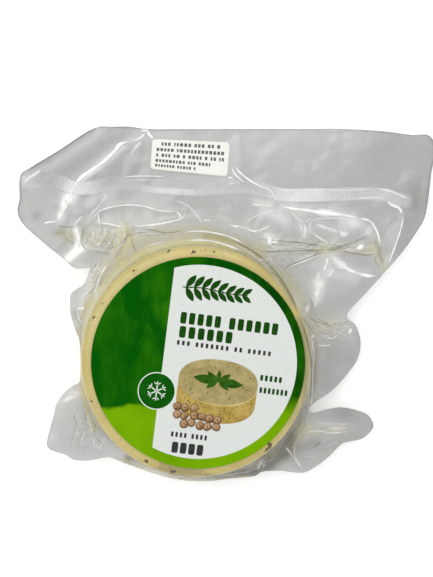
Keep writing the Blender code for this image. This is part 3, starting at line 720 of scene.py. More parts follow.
def scatter_value(column, row, seed):
    """A steady random number from 0 to 1 for each cell of a lattice."""
    mixed = np.sin(column * 127.1 + row * 311.7 + seed * 74.7) * 43758.5453
    return mixed - np.floor(mixed)


def smooth_waves(x, y, seed):
    """Smooth random waves from -1 to 1 that are one unit long."""
    column, row = np.floor(x), np.floor(y)
    across, along = smooth_step(x - column), smooth_step(y - row)
    near = (scatter_value(column, row, seed) * (1 - across)
            + scatter_value(column + 1, row, seed) * across)
    far = (scatter_value(column, row + 1, seed) * (1 - across)
           + scatter_value(column + 1, row + 1, seed) * across)
    return 2.0 * (near * (1 - along) + far * along) - 1.0


def facets(x, y, seed):
    """Crumpled facets one unit wide: zero along their ridges, growing towards their middles."""
    column, row = np.floor(x), np.floor(y)
    nearest = np.full(x.shape, 9.0)
    second = np.full(x.shape, 9.0)
    for step_x in (-1, 0, 1):
        for step_y in (-1, 0, 1):
            cell_x, cell_y = column + step_x, row + step_y
            away = np.hypot(cell_x + scatter_value(cell_x, cell_y, seed) - x,
                            cell_y + scatter_value(cell_x, cell_y, seed + 1.0) - y)
            second = np.where(away < nearest, nearest, np.minimum(second, away))
            nearest = np.minimum(nearest, away)
    return second - nearest


def crumple(x, y):
    """How finely creased the film is, from 0 to 1, over the creased fields."""
    amount = np.zeros(np.shape(x))
    for centre, size in CRUMPLED:
        amount = np.maximum(amount, np.exp(-((x - centre[0]) / size[0]) ** 2
                                           - ((y - centre[1]) / size[1]) ** 2))
    return amount


def wrinkle(x, y):
    """Gentle waves and small facets of slack film, as heights."""
    return (0.8 * smooth_waves(x / 24.0, y / 17.0, 3.0) + 0.3 * smooth_waves(x / 8.0, y / 6.5, 8.0)
            + 0.30 * facets(x / 8.0, y / 8.0, 5.0) + crumple(x, y) * 1.1 * facets(x / 3.4, y / 3.4, 2.0))


def fold_relief(x, y):
    """Height that the named folds add to the film around them."""
    relief = np.zeros(len(x))
    for half_width, height, line in RELIEF_LINES:
        broad = 2.0 * half_width + 0.7
        margin = 3.0 * broad
        near = ((x > line[:, 0].min() - margin) & (x < line[:, 0].max() + margin)
                & (y > line[:, 1].min() - margin) & (y < line[:, 1].max() + margin))
        if near.any():
            away = distance_to_line(x[near], y[near], line)
            relief[near] = np.maximum(relief[near], height * np.exp(-(away / broad) ** 2))
    return relief


def sticker_calm(x, y):
    """One away from the date sticker, falling to zero where the film lies flat under it."""
    across = np.abs(x - STICKER_CENTRE[0]) - STICKER_SIZE[0] / 2.0
    along = np.abs(y * OVAL - STICKER_CENTRE[1]) - STICKER_SIZE[1] / 2.0
    return smooth_step(np.maximum(across, along) / 5.0)


def slack(x, y):
    """How free the film is to wave: none on the cheese, all of it in the lip and lobes."""
    out = np.hypot(x, y) - WALL_RADIUS
    return smooth_step(out / 8.0) * (0.3 + 0.7 * sticker_calm(x, y))


def top_height(x, y):
    x = np.atleast_1d(np.asarray(x, dtype=float))
    y = np.atleast_1d(np.asarray(y, dtype=float))
    free = slack(x, y)
    near_edge = 0.25 + 0.75 * free
    return (resting_top(x, y) + free * wrinkle(x, y)
            + fold_relief(x, y) * near_edge * np.where(np.hypot(x, y) < WALL_RADIUS, 0.3, 1.0))


# Film


def film_template():
    """A flat double disc, one millimetre a station, that the film is moved out from."""
    template = bmesh.new()
    count_top = EDGE_STATIONS + TOP_STATIONS
    count_under = EDGE_STATIONS + UNDER_STATIONS
    upper = [template.verts.new((station, 0.0, 1.0)) for station in range(count_top + 1)]
    lower = [template.verts.new((station, 0.0, -1.0)) for station in range(count_under)]
    spin_section(template, upper + lower[::-1], FILM_STEPS)
    return template


def station_places(station, step, share_power, count, edge_start, wall):
    """Places in the plane of the film's stations: on the cheese, then out along the rays."""
    angle, edge_x, edge_y = (values[step] for values in EDGE_RAYS)
    over_edge = np.interp(station, np.arange(EDGE_STATIONS + 1),
                          edge_start + (wall - edge_start)
                          * np.sin(np.linspace(0.0, math.pi / 2.0, EDGE_STATIONS + 1)))
    radius = np.where(station < 1, 0.0, over_edge)
    share = np.clip((station - EDGE_STATIONS) / count, 0.0, 1.0) ** share_power
    wall_x, wall_y = wall * np.cos(angle), wall * np.sin(angle)
    out = station > EDGE_STATIONS
    x = np.where(out, wall_x + (edge_x - wall_x) * share, radius * np.cos(angle))
    y = np.where(out, wall_y + (edge_y - wall_y) * share, radius * np.sin(angle))
    return x, y, share


def build_film(material):
    """The whole bag as one closed envelope: upper film, cut edge and lower film."""
    template = film_template()
    flat = np.array([vert.co[:] for vert in template.verts])
    station = np.rint(np.hypot(flat[:, 0], flat[:, 1])).astype(int)
    turn = np.arctan2(flat[:, 1], flat[:, 0]) / math.tau * FILM_STEPS
    step = np.rint(turn).astype(int) % FILM_STEPS
    upper = flat[:, 2] > 0.0
    top_x, top_y, top_share = station_places(station, step, 1.25, TOP_STATIONS,
                                     CHEESE_RADIUS - TOP_EDGE, WALL_RADIUS)
    low_x, low_y, low_share = station_places(station, step, 1.3, UNDER_STATIONS + 1,
                                         CHEESE_RADIUS - BOTTOM_EDGE,
                                         CHEESE_RADIUS + FILM_UNDER_CHEESE)
    x = np.where(upper, top_x, low_x)
    y = np.where(upper, top_y, low_y)
    share = np.where(upper, top_share, low_share)
    low = ~upper
    free = slack(x[low], y[low])
    z = np.empty(len(x))
    z[upper] = top_height(x[upper], y[upper])
    z[low] = resting_under(x[low], y[low]) + free * (wrinkle(x[low], y[low])
                                                     + 0.6 * fold_relief(x[low], y[low]))
    for vert, place in zip(template.verts, zip(x, y, np.maximum(z, OVER_FLOOR))):
        vert.co = place
    # Painted light and painted shade of the soft areas, a little darker at the cut edge
    painted_light_and_shade = area_sum(SOFT_LINES, x, y) - 0.12 * smooth_step((share - 0.975) / 0.02)
    stain = area_sum(STAIN_LINES, x, y)
    piece = finished(template, "bag_film", material, oval=True)
    out = np.hypot(x, y) - CHEESE_RADIUS
    veil = np.where(upper, np.maximum(0.10 + 0.90 * smooth_step((out - 0.3) / 3.0), STAIN_VEIL * stain),
                    0.4 + 0.6 * smooth_step(out / 4.0))
    warm = np.maximum(0.5 * np.exp(-(np.maximum(out, 0.0) / 3.0) ** 2), stain)
    # Painted light: the film's colour is lightened towards the cheese, against the shade there
    near = np.exp(-np.maximum(out, 0.0) / 20.0)
    layers = {"painted_light_and_shade": painted_light_and_shade, "veil": veil, "warm": warm, "near": near, "crumple": crumple(x, y)}
    for name, values in layers.items():
        layer = piece.data.attributes.new(name, "FLOAT", "POINT")
        layer.data.foreach_set("value", values.astype(np.float32))
    return piece


def build_folds(material):
    """Every crease of the film as a slim closed ridge that lies on it and thins to its ends.

    Its colour is a white painted highlight, which turns to painted shade where it is olive.
    """
    ridges = bmesh.new()
    fade = ridges.verts.layers.float.new("fade")
    olive_shade_layer = ridges.verts.layers.float.new("olive_shade")
    across = np.array(RIDGE_PLACES)
    across_segments = len(across) - 1
    draw = random.Random(FOLD_SEED + 1)
    for half_width, height, white, olive_shade, line in FOLDS:
        normal = side_normals(line)
        along = np.linspace(0.0, 1.0, len(line))
        crown = np.array(SOFT_CROWN if half_width > SOFT_STROKE else RIDGE_CROWN)
        pointed = 2.2 if half_width > WIDE_STROKE else 5.0
        taper = smooth_step(np.minimum(along, 1.0 - along) * pointed + 0.02)
        phase = draw.uniform(0.0, 50.0)
        flow = np.array([noise.noise(Vector((phase, t * len(line) * 0.16, 0.0))) for t in along])
        width = half_width * taper * (1.0 + 0.30 * flow)
        # Strength of the painted highlight, which is painted shade where the stroke is olive
        bright = white * np.sqrt(taper) * np.clip(1.0 + 0.5 * flow, 0.4, 1.15)
        grid_x = line[:, 0][:, None] + normal[:, 0][:, None] * width[:, None] * across
        grid_y = line[:, 1][:, None] + normal[:, 1][:, None] * width[:, None] * across
        base = top_height(grid_x.ravel(), grid_y.ravel()).reshape(grid_x.shape)
        rise = np.minimum(height * 0.35, width)[:, None] * crown
        for lift in (0.06 + rise, np.full_like(rise, 0.03)):
            made = bmesh.ops.create_grid(ridges, x_segments=len(line) - 1,
                                         y_segments=across_segments, size=1.0)["verts"]
            for vert in made:
                row = int(round((vert.co.x + 1.0) / 2.0 * (len(line) - 1)))
                column = int(round((vert.co.y + 1.0) / 2.0 * across_segments))
                edge = column in (0, across_segments) or row in (0, len(line) - 1)
                vert.co = (grid_x[row, column], grid_y[row, column],
                           base[row, column] + (0.05 if edge else lift[row, column]))
                vert[fade] = float(bright[row] * crown[column])
                vert[olive_shade_layer] = float(olive_shade)
    bmesh.ops.remove_doubles(ridges, verts=ridges.verts[:], dist=0.0004)
    return finished(ridges, "bag_folds", material, oval=True)


def build_seal_band(material):
    """The embossed weld across the lip: a fine grid of raised dots with painted glints on them."""
    line = curve_through(np.column_stack((place_on_film([row[:2] for row in SEAL_LINE]),
                                          [row[2:] for row in SEAL_LINE])), 0.2)
    rows = SEAL_ROWS
    strip = bmesh.new()
    glint = strip.verts.layers.float.new("glint")
    normal = side_normals(line)
    travelled = np.concatenate(([0.0], np.cumsum(np.hypot(*np.diff(line[:, :2], axis=0).T))))
    offset = np.linspace(-SEAL_HALF_HEIGHT, SEAL_HALF_HEIGHT, rows + 1)
    grid_x = line[:, 0][:, None] + normal[:, 0][:, None] * offset
    grid_y = line[:, 1][:, None] + normal[:, 1][:, None] * offset
    base = top_height(grid_x.ravel(), grid_y.ravel()).reshape(grid_x.shape)
    wave_along = np.cos(math.tau * travelled / SEAL_PITCH)[:, None]
    wave_across = np.cos(math.tau * offset / SEAL_PITCH)[None, :]
    dots = smooth_step(0.5 + 0.5 * wave_along * wave_across)
    border = np.clip(1.2 - np.abs(offset) / SEAL_HALF_HEIGHT, 0.0, 1.0)[None, :]
    ends = np.sqrt(np.clip(np.sin(math.pi * np.linspace(0.0, 1.0, len(line))), 0.0, 1.0))[:, None]
    bright = line[:, 2][:, None] * np.minimum(ends * 3.0, 1.0) * np.minimum(border * 2.5, 1.0)
    bright *= 1.0 - (1.0 - line[:, 3][:, None]) * smooth_step((offset + 0.8) / 1.2)[None, :]
    columns = len(line) - 1
    made = bmesh.ops.create_grid(strip, x_segments=columns, y_segments=rows, size=1.0)["verts"]
    for vert in made:
        row = int(round((vert.co.x + 1.0) / 2.0 * columns))
        column = int(round((vert.co.y + 1.0) / 2.0 * rows))
        vert.co = (grid_x[row, column], grid_y[row, column],
                   base[row, column] + SEAL_LIFT + SEAL_RELIEF * dots[row, column])
        # Painted glint, strongest on the dots' crests
        vert[glint] = float(bright[row, column] * (0.02 + dots[row, column]))
    bmesh.ops.solidify(strip, geom=strip.faces[:], thickness=SEAL_THICKNESS)
    return finished(strip, "seal_band", material, oval=True)


# Cheese


def cheese_section():
    """Half section of the puck, from the top's centre down to the bottom's, in many points."""
    points = [(radius, CHEESE_TOP) for radius in np.linspace(0.0, CHEESE_RADIUS - TOP_EDGE, 14)]
    for angle in np.linspace(90, 0, 12)[1:]:
        turn = math.radians(angle)
        points.append((CHEESE_RADIUS - TOP_EDGE + TOP_EDGE * math.cos(turn),
                       CHEESE_TOP - TOP_EDGE + TOP_EDGE * math.sin(turn)))
    for height in np.linspace(TENT_TOP, TENT_FOOT, 26)[1:]:
        points.append((CHEESE_RADIUS, height))
    for angle in np.linspace(0, -90, 10)[1:]:
        turn = math.radians(angle)
        points.append((CHEESE_RADIUS - BOTTOM_EDGE + BOTTOM_EDGE * math.cos(turn),
                       TENT_FOOT + BOTTOM_EDGE * math.sin(turn)))
    points += [(radius, CHEESE_BOTTOM)
               for radius in np.linspace(CHEESE_RADIUS - BOTTOM_EDGE, 0.0, 14)[1:]]
    return points


def build_cheese(material):
    puck = bmesh.new()
    chain = [puck.verts.new((radius, 0.0, height)) for radius, height in cheese_section()]
    spin_section(puck, chain, CHEESE_STEPS)
    bmesh.ops.recalc_face_normals(puck, faces=puck.faces[:])
    puck.normal_update()
    for vert in puck.verts:
        broad = noise.noise(vert.co / 9.0)
        fine = noise.noise(vert.co / 1.6)
        pit = max(noise.noise(vert.co / 2.3 + Vector((9.0, 4.0, 1.0))) - 0.35, 0.0)
        vert.co += vert.normal * (0.05 * broad + 0.03 * fine - 0.25 * pit - 0.05)
    return finished(puck, "cheese_puck", material, oval=True)


def surface_place(angle, run):
    """Place and outward direction on the puck, `run` mm along its section from the flat top."""
    edge_length = TOP_EDGE * math.pi / 2.0
    side_length = TENT_TOP - TENT_FOOT
    if run < 0.0:
        radius, height, lean = CHEESE_RADIUS - TOP_EDGE + run, CHEESE_TOP, 0.0
    elif run < edge_length:
        lean = run / TOP_EDGE
        radius = CHEESE_RADIUS - TOP_EDGE + TOP_EDGE * math.sin(lean)
        height = CHEESE_TOP - TOP_EDGE + TOP_EDGE * math.cos(lean)
    elif run < edge_length + side_length:
        radius, height, lean = CHEESE_RADIUS, TENT_TOP - (run - edge_length), math.pi / 2.0
    else:
        radius = CHEESE_RADIUS - BOTTOM_EDGE - (run - edge_length - side_length)
        height, lean = CHEESE_BOTTOM, math.pi
    return radius, height, lean


def build_flecks(material):
    """Chopped herbs in the cheese's surface: slim flat flecks, most of them under 1 mm."""
    draw = random.Random(FLECK_SEED)
    herbs = bmesh.new()
    hue = herbs.verts.layers.float.new("hue")
    edge_length = TOP_EDGE * math.pi / 2.0
    side_length = TENT_TOP - TENT_FOOT
    flecks = []
    for angle, radius, length in LARGE_FLECKS:
        lean = math.asin(min((radius - CHEESE_RADIUS + TOP_EDGE) / TOP_EDGE, 0.95))
        flecks.append((math.radians(angle), lean * TOP_EDGE, length, draw.uniform(-0.7, 0.7),
                       draw.uniform(0.0, 0.6)))
        for _ in range(4):
            flecks.append((math.radians(angle + draw.gauss(0.0, 1.6)),
                           max(lean * TOP_EDGE + draw.gauss(0.0, 0.9), 0.1),
                           length * draw.uniform(0.2, 0.5), draw.uniform(0, 3.1), draw.random()))
    for _ in range(SIDE_FLECKS):
        flecks.append((draw.uniform(0.0, math.tau), draw.uniform(-0.5, edge_length + side_length),
                       draw.choice((0.14, 0.18, 0.22, 0.3, 0.42)) * draw.uniform(0.8, 1.3),
                       draw.uniform(0.0, 3.1), draw.random()))
    for _ in range(BOTTOM_FLECKS):
        far = edge_length + side_length + 45.0 * (1.0 - math.sqrt(draw.random()))
        flecks.append((draw.uniform(0.0, math.tau), far, draw.uniform(0.2, 0.6),
                       draw.uniform(0.0, 3.1), draw.random()))
    for angle, run, half_length, twist, shade in flecks:
        radius, height, lean = surface_place(angle, run)
        place = (Matrix.Rotation(angle, 4, "Z") @ Matrix.Translation((radius, 0.0, height))
                 @ Matrix.Rotation(lean, 4, "Y") @ Matrix.Rotation(twist, 4, "Z")
                 @ Matrix.Diagonal((half_length * draw.uniform(0.3, 0.6), half_length, 0.09, 1.0)))
        made = bmesh.ops.create_icosphere(herbs, subdivisions=1, radius=1.0, matrix=place)["verts"]
        for vert in made:
            vert[hue] = shade
    return finished(herbs, "herb_flecks", material, oval=True)


# Label


def label_to_world():
    return (Matrix.Translation((LABEL_CENTRE[0], LABEL_CENTRE[1], 0.0))
            @ Matrix.Rotation(LABEL_TURN, 4, "Z"))


def raise_face(bm, face, thickness, finish_index):
    """Give a flat face a thickness, downwards, as a closed plate."""
    raised = bmesh.ops.extrude_face_region(bm, geom=[face], use_keep_orig=True)["geom"]
    new_verts = [item for item in raised if isinstance(item, bmesh.types.BMVert)]
    bmesh.ops.translate(bm, vec=(0.0, 0.0, -thickness), verts=new_verts)
    for vert in list(face.verts) + new_verts:
        for touching in vert.link_faces:
            touching.material_index = finish_index


def stamp(bm, layer, centre, radius, finish_index, stretch=0.0, squash=1.0, turn=0.0,
          segments=24, taper=0.0, squareness=1.0):
    """One printed shape: a disc, bar, oval or leaf, as a thin plate on the label.

    A stretch parts the disc's halves into a bar, a taper draws its ends to a point, and a
    squareness under one fills its corners.
    """
    height = LABEL_TOP + PRINT_STEP * layer
    place = (label_to_world() @ Matrix.Translation((centre[0], centre[1], height))
             @ Matrix.Rotation(turn, 4, "Z"))
    made = bmesh.ops.create_circle(bm, cap_ends=True, segments=segments, radius=radius)["verts"]
    for vert in made:
        across, along = vert.co.x / radius, vert.co.y / radius
        if taper:
            along *= max(1.0 - across ** 2, 0.0) ** taper
        if squareness != 1.0:
            across = math.copysign(abs(across) ** squareness, across)
            along = math.copysign(abs(along) ** squareness, along)
        vert.co.x = across * radius + (math.copysign(stretch, across) if abs(across) > 0.01 else 0.0)
        vert.co.y = along * radius * squash
    bmesh.ops.transform(bm, matrix=place, verts=made)
    raise_face(bm, made[0].link_faces[0], PRINT_STEP * 0.8, finish_index)


def block_row(bm, centre, length, height, words, finish_index, weight):
    """A line of print as bare upright blocks, grouped into words of so many blocks each."""
    pitch = length / (sum(words) + 0.7 * (len(words) - 1))
    half = pitch * weight / 2.0
    place = centre[0] - length / 2.0 + pitch / 2.0
    for count in words:
        for _ in range(count):
            stamp(bm, 3, (place, centre[1]), half, finish_index, stretch=max(height / 2.0 - half, 0.01),
                  turn=math.pi / 2.0, segments=12, squareness=0.5)
            place += pitch
        place += pitch * 0.7


# Order of the label print's finishes
(FIELD, PANEL, WHITE, HEADING, GREY, CREAM, CREAM_SIDE, LEAF, SPECK, BEAN_SHADE, BEAN,
 BADGE, SIDE_SHADE, RIM_LIGHT) = range(14)


# Rows of plain blocks where the label has its words: centre, length and height in mm, blocks
# in each word, the share of its pitch that a block fills, and the finish
BLOCK_ROWS = (
    ((10.95, 18.7), 42.5, 5.0, (5, 6), 0.71, HEADING),
    ((1.7, 12.7), 23.7, 5.0, (6,), 0.71, HEADING),
    ((10.0, 8.0), 41.0, 2.0, (3, 7, 2, 5), 0.52, GREY),
    ((31.5, -2.6), 10.0, 2.5, (5,), 0.60, HEADING),
    ((33.2, -7.9), 12.6, 2.5, (7,), 0.60, HEADING),
    ((0.0, -31.4), 16.2, 2.2, (4, 4), 0.54, GREY),
    ((0.0, -37.0), 14.3, 4.8, (4,), 0.78, GREY),
)


def snow_crystal(bm):
    """A six-armed crystal with paired twigs in the round badge."""
    for arm in range(6):
        turn = math.radians(60 * arm + 30)
        middle = away_from(BADGE_CENTRE, 2.1, turn)
        stamp(bm, 5, middle, 0.26, WHITE, stretch=1.8, turn=turn, segments=12)
        for side in (-1, 1):
            twig_turn = turn + side * math.radians(55)
            twig = away_from(away_from(BADGE_CENTRE, 2.7, turn), 0.75, twig_turn)
            stamp(bm, 5, twig, 0.22, WHITE, stretch=0.7, turn=twig_turn, segments=12)


def away_from(place, distance, turn):
    """The point that lies a distance from a place, in the direction of an angle."""
    return place[0] + distance * math.cos(turn), place[1] + distance * math.sin(turn)


def build_label_print(materials):
    """The label's flat print: colour fields, badge, a pictured cheese and plain word bars."""
    print_bm = bmesh.new()
    field = bmesh.ops.create_circle(print_bm, cap_ends=True, segments=180, radius=FIELD_RADIUS)["verts"]
    bmesh.ops.transform(print_bm, verts=field, matrix=label_to_world()
                        @ Matrix.Translation((0.0, 0.0, LABEL_TOP + PRINT_STEP)))
    raise_face(print_bm, field[0].link_faces[0], PRINT_STEP * 0.8, FIELD)
    white_panel(print_bm)
    stamp(print_bm, 3, BADGE_CENTRE, BADGE_RADIUS, WHITE, segments=64)
    stamp(print_bm, 4, BADGE_CENTRE, BADGE_RADIUS - 0.45, BADGE, segments=64)
    snow_crystal(print_bm)
    pictured_cheese(print_bm)
    herb_row(print_bm)
    for centre, length, height, words, weight, finish_index in BLOCK_ROWS:
        block_row(print_bm, centre, length, height, words, finish_index, weight)
    return finished(print_bm, "label_print", materials, smooth=False)


def white_panel(bm):
    disc = bmesh.ops.create_circle(bm, cap_ends=True, segments=160, radius=PANEL_RADIUS)["verts"]
    bmesh.ops.translate(bm, vec=(*PANEL_CENTRE, LABEL_TOP + PRINT_STEP * 2), verts=disc)
    face = disc[0].link_faces[0]
    geometry = list(face.verts) + list(face.edges) + [face]
    cut = bmesh.ops.bisect_plane(bm, geom=geometry, plane_co=(PANEL_LEFT, 0.0, 0.0),
                                 plane_no=(-1.0, 0.0, 0.0), clear_outer=True)["geom"]
    kept = [item for item in cut if isinstance(item, bmesh.types.BMFace)][0]
    bmesh.ops.transform(bm, matrix=label_to_world(), verts=list(kept.verts))
    raise_face(bm, kept, PRINT_STEP * 0.8, PANEL)


def pictured_cheese(bm):
    """A small pictured round cheese with a sprig on it and round beans beside it."""
    centre = (9.4, -6.8)
    half_width, half_depth, side = 16.85, 9.6, 8.2
    flat = half_depth / half_width
    low = (centre[0], centre[1] - side)
    stamp(bm, 3, low, half_width, SIDE_SHADE, squash=flat, segments=64, squareness=0.9)
    stamp(bm, 4, (low[0], low[1] + 0.9), half_width, CREAM_SIDE, squash=flat, segments=64,
          squareness=0.9)
    stamp(bm, 4.5, (centre[0], centre[1] - side / 2.0), side / 2.0, CREAM_SIDE,
          stretch=half_width - side / 2.0, segments=48, squareness=0.02)
    stamp(bm, 4.75, (centre[0] + 0.6, centre[1] - 0.8), half_width - 0.7, RIM_LIGHT, squash=flat,
          segments=64, squareness=0.9)
    stamp(bm, 5.5, centre, half_width, CREAM, squash=flat, segments=64, squareness=0.9)
    draw = random.Random(PICTURED_SEED)
    for _ in range(110):
        turn = draw.uniform(0.0, math.tau)
        far = draw.random() ** 0.4 * 0.95
        spot = (centre[0] + half_width * far * math.cos(turn),
                centre[1] + half_depth * far * math.sin(turn))
        stamp(bm, 6, spot, draw.uniform(0.12, 0.34), SPECK, squash=draw.uniform(0.35, 0.9),
              turn=draw.uniform(0, 3), segments=6)
    for _ in range(60):
        across = draw.uniform(-0.96, 0.96)
        drop = half_depth * math.sqrt(1.0 - across ** 2)
        spot = (centre[0] + half_width * across, centre[1] - drop - draw.uniform(0.2, side - 0.8))
        stamp(bm, 6, spot, draw.uniform(0.14, 0.36), SPECK, squash=draw.uniform(0.4, 1.0), segments=6)
    for index, (turn, reach) in enumerate(PICTURED_LEAVES):
        lean = math.radians(turn)
        leaf = (centre[0] + reach * math.cos(lean), centre[1] + 0.4 + reach * 0.8 * math.sin(lean))
        stamp(bm, 7 + index, leaf, reach, LEAF, turn=lean, squash=0.36, taper=0.5, segments=24)
    for row, (left, height, count) in enumerate(BEAN_ROWS):
        for index in range(count):
            bean = (left + index * 3.5 + draw.uniform(-0.35, 0.35), height + draw.uniform(-0.6, 0.6))
            turn = draw.uniform(0, 3)
            size = draw.uniform(1.7, 2.0)
            base = 7 + 3 * ((index + 2 * row) % 3)
            stamp(bm, base, bean, size, BEAN_SHADE, squash=draw.uniform(0.82, 1.0), turn=turn,
                  segments=14, squareness=0.8)
            lit = (bean[0] - 0.15, bean[1] + 0.3)
            stamp(bm, base + 1, lit, size * 0.76, BEAN, squash=0.8, turn=turn, segments=12,
                  squareness=0.75)
            stamp(bm, base + 2, (lit[0] + 0.3, lit[1] - 0.35), size * 0.4, BEAN_SHADE, squash=0.3,
                  turn=turn + 1.0, segments=8)


def herb_row(bm):
    """A simple sprig of paired leaves at the head of the panel."""
    pairs = 8
    for index in range(pairs):
        stem = (-8.6 + index * 3.4, 31.7 + 0.5 * math.sin(index * 0.8))
        stamp(bm, 3, stem, 0.3, HEADING, stretch=1.7, segments=8)
        for side in (-1, 1):
            turn = side * math.radians(56 - 3 * index)
            length = 3.4 - 0.12 * index
            leaf = (stem[0] + length * 0.75 * math.cos(turn), stem[1] + length * math.sin(turn))
            stamp(bm, 4, leaf, length, HEADING, turn=turn, squash=0.40, taper=0.5, segments=20)


# Date sticker


def sticker_point(u, v):
    """A point of the sticker's surface from its own upright millimetres."""
    v *= 1.0 + STICKER_TAPER * 2.0 * u / STICKER_SIZE[0]
    x = STICKER_CENTRE[0] + u * math.cos(STICKER_TURN) - v * math.sin(STICKER_TURN)
    y = STICKER_CENTRE[1] + u * math.sin(STICKER_TURN) + v * math.cos(STICKER_TURN)
    return x, y


def sticker_height(x, y):
    film = float(resting_top(np.array([x]), np.array([y / OVAL]))[0])
    return film + STICKER_LIFT + 0.35 * math.cos(x / 9.0)


def build_sticker(material):
    """A thin paper sticker with round corners that follows the lip's slight bow."""
    paper = bmesh.new()
    columns, rows = 48, 20
    made = bmesh.ops.create_grid(paper, x_segments=columns, y_segments=rows, size=1.0)["verts"]
    half_width, half_height = STICKER_SIZE[0] / 2.0, STICKER_SIZE[1] / 2.0
    for vert in made:
        u, v = vert.co.x * half_width, vert.co.y * half_height
        past_u = max(abs(u) - (half_width - STICKER_CORNER), 0.0)
        past_v = max(abs(v) - (half_height - STICKER_CORNER), 0.0)
        if past_u and past_v:
            shrink = max(past_u, past_v) / math.hypot(past_u, past_v)
            u = math.copysign(half_width - STICKER_CORNER + past_u * shrink, u)
            v = math.copysign(half_height - STICKER_CORNER + past_v * shrink, v)
        x, y = sticker_point(u, v)
        vert.co = (x, y, sticker_height(x, y))
    bmesh.ops.solidify(paper, geom=paper.faces[:], thickness=0.12)
    return finished(paper, "sticker_paper", material)


def build_sticker_print(material):
    """Rows of small plain blocks where a date printer would put its text."""
    draw = random.Random(STICKER_SEED)
    ink = bmesh.new()
    for height, left, right, size in STICKER_ROWS:
        place = left
        while place < right - size * 0.5:
            width = draw.uniform(0.45, 0.95) * size
            make_dash(ink, place + width / 2.0, height, width, size)
            place += width + size * (0.36 if draw.random() > 0.16 else 1.0)
    return finished(ink, "sticker_print", material, smooth=False)


def make_dash(bm, u, v, width, height):
    made = bmesh.ops.create_cube(bm, size=1.0)["verts"]
    for vert in made:
        x, y = sticker_point(u + vert.co.x * width, v + vert.co.y * height)
        vert.co = (x, y, sticker_height(x, y) + 0.01 + vert.co.z * 0.04)


# Materials


def new_material(name):
    material = bpy.data.materials.new(name)
    material.use_nodes = True
    nodes = material.node_tree.nodes
    return material, nodes, material.node_tree.links, nodes["Principled BSDF"]


def coordinates(nodes, links, scale=(1.0, 1.0, 1.0), turn=0.0):
    """Object coordinates, scaled and turned about Z."""
    source = nodes.new("ShaderNodeTexCoord")
    mapping = nodes.new("ShaderNodeMapping")
    mapping.inputs["Scale"].default_value = scale
    mapping.inputs["Rotation"].default_value = (0.0, 0.0, turn)
    links.new(source.outputs["Object"], mapping.inputs["Vector"])
    return mapping.outputs["Vector"]


def noise_value(nodes, links, vector, scale, detail=3.0, roughness=0.5):
    texture = nodes.new("ShaderNodeTexNoise")
    texture.inputs["Scale"].default_value = scale
    texture.inputs["Detail"].default_value = detail
    texture.inputs["Roughness"].default_value = roughness
    links.new(vector, texture.inputs["Vector"])
    return texture.outputs["Fac"]


def mapped(nodes, links, value, low, high, to_low, to_high):
    node = nodes.new("ShaderNodeMapRange")
    node.inputs["From Min"].default_value = low
    node.inputs["From Max"].default_value = high
    node.inputs["To Min"].default_value = to_low
    node.inputs["To Max"].default_value = to_high
    links.new(value, node.inputs["Value"])
    return node.outputs["Result"]


def blended(nodes, links, factor, first, second):
    """A colour between two, each given as numbers or as a socket."""
    node = nodes.new("ShaderNodeMix")
    node.data_type = "RGBA"
    for socket, value in ((node.inputs[6], first), (node.inputs[7], second)):
        if isinstance(value, tuple):
            socket.default_value = (*value, 1.0)
        else:
            links.new(value, socket)
    links.new(factor, node.inputs[0])
    return node.outputs[2]


def arithmetic(nodes, links, operation, first, second, clamp=False):
    node = nodes.new("ShaderNodeMath")
    node.operation = operation
    node.use_clamp = clamp
    for socket, value in zip(node.inputs, (first, second)):
        if isinstance(value, float):
            socket.default_value = value
        else:
            links.new(value, socket)
    return node.outputs[0]


def attribute(nodes, name):
    node = nodes.new("ShaderNodeAttribute")
    node.attribute_name = name
    return node.outputs["Fac"]


def add_bump(nodes, links, shader, height, strength, distance):
    node = nodes.new("ShaderNodeBump")
    node.inputs["Strength"].default_value = strength
    node.inputs["Distance"].default_value = distance
    links.new(height, node.inputs["Height"])
    links.new(node.outputs["Normal"], shader.inputs["Normal"])


def film_material():
    """Clear glossy film that greys what lies under it, with painted light and painted shade in its
    colour.
    """
    material, nodes, links, shader = new_material("clear_film")
    vector = coordinates(nodes, links)
    # Painted light and painted shade, from the soft areas
    painted_light_and_shade = attribute(nodes, "painted_light_and_shade")
    patches = noise_value(nodes, links, vector, 38.0, 2.0)
    tone = mapped(nodes, links, patches, 0.3, 0.7, 0.0, 1.0)
    far = blended(nodes, links, tone, *FILM_FAR)
    # Painted light towards the cheese
    grey = blended(nodes, links, attribute(nodes, "near"), far, FILM_NEAR_LIT)
    tinted = blended(nodes, links, attribute(nodes, "warm"), grey, FILM_TINTED)
    light = mapped(nodes, links, painted_light_and_shade, 0.0, 0.9, 0.0, 1.0)
    lit = blended(nodes, links, light, tinted, FILM_LIT)
    dark = mapped(nodes, links, painted_light_and_shade, -1.0, 0.0, 0.85, 0.0)
    links.new(blended(nodes, links, dark, lit, FILM_SHADED), shader.inputs["Base Color"])
    alpha = arithmetic(nodes, links, "MULTIPLY", attribute(nodes, "veil"), FILM_OPACITY)
    extra = mapped(nodes, links, painted_light_and_shade, 0.0, 1.0, 0.0, LIT_OPACITY)
    shaded = mapped(nodes, links, painted_light_and_shade, -1.0, 0.0, SHADED_OPACITY, 0.0)
    both = arithmetic(nodes, links, "ADD", extra, shaded)
    links.new(arithmetic(nodes, links, "ADD", alpha, both, clamp=True), shader.inputs["Alpha"])
    smudge = noise_value(nodes, links, vector, 210.0, 4.0)
    links.new(mapped(nodes, links, smudge, 0.3, 0.7, 0.06, 0.20), shader.inputs["Roughness"])
    crinkle = noise_value(nodes, links, vector, 420.0, 5.0, 0.6)
    depth = mapped(nodes, links, attribute(nodes, "crumple"), 0.0, 1.0, 0.25, 1.0)
    add_bump(nodes, links, shader, arithmetic(nodes, links, "MULTIPLY", crinkle, depth), 0.4, 0.0008)
    shader.inputs["IOR"].default_value = 1.5
    shader.inputs["Specular IOR Level"].default_value = 1.0
    return material


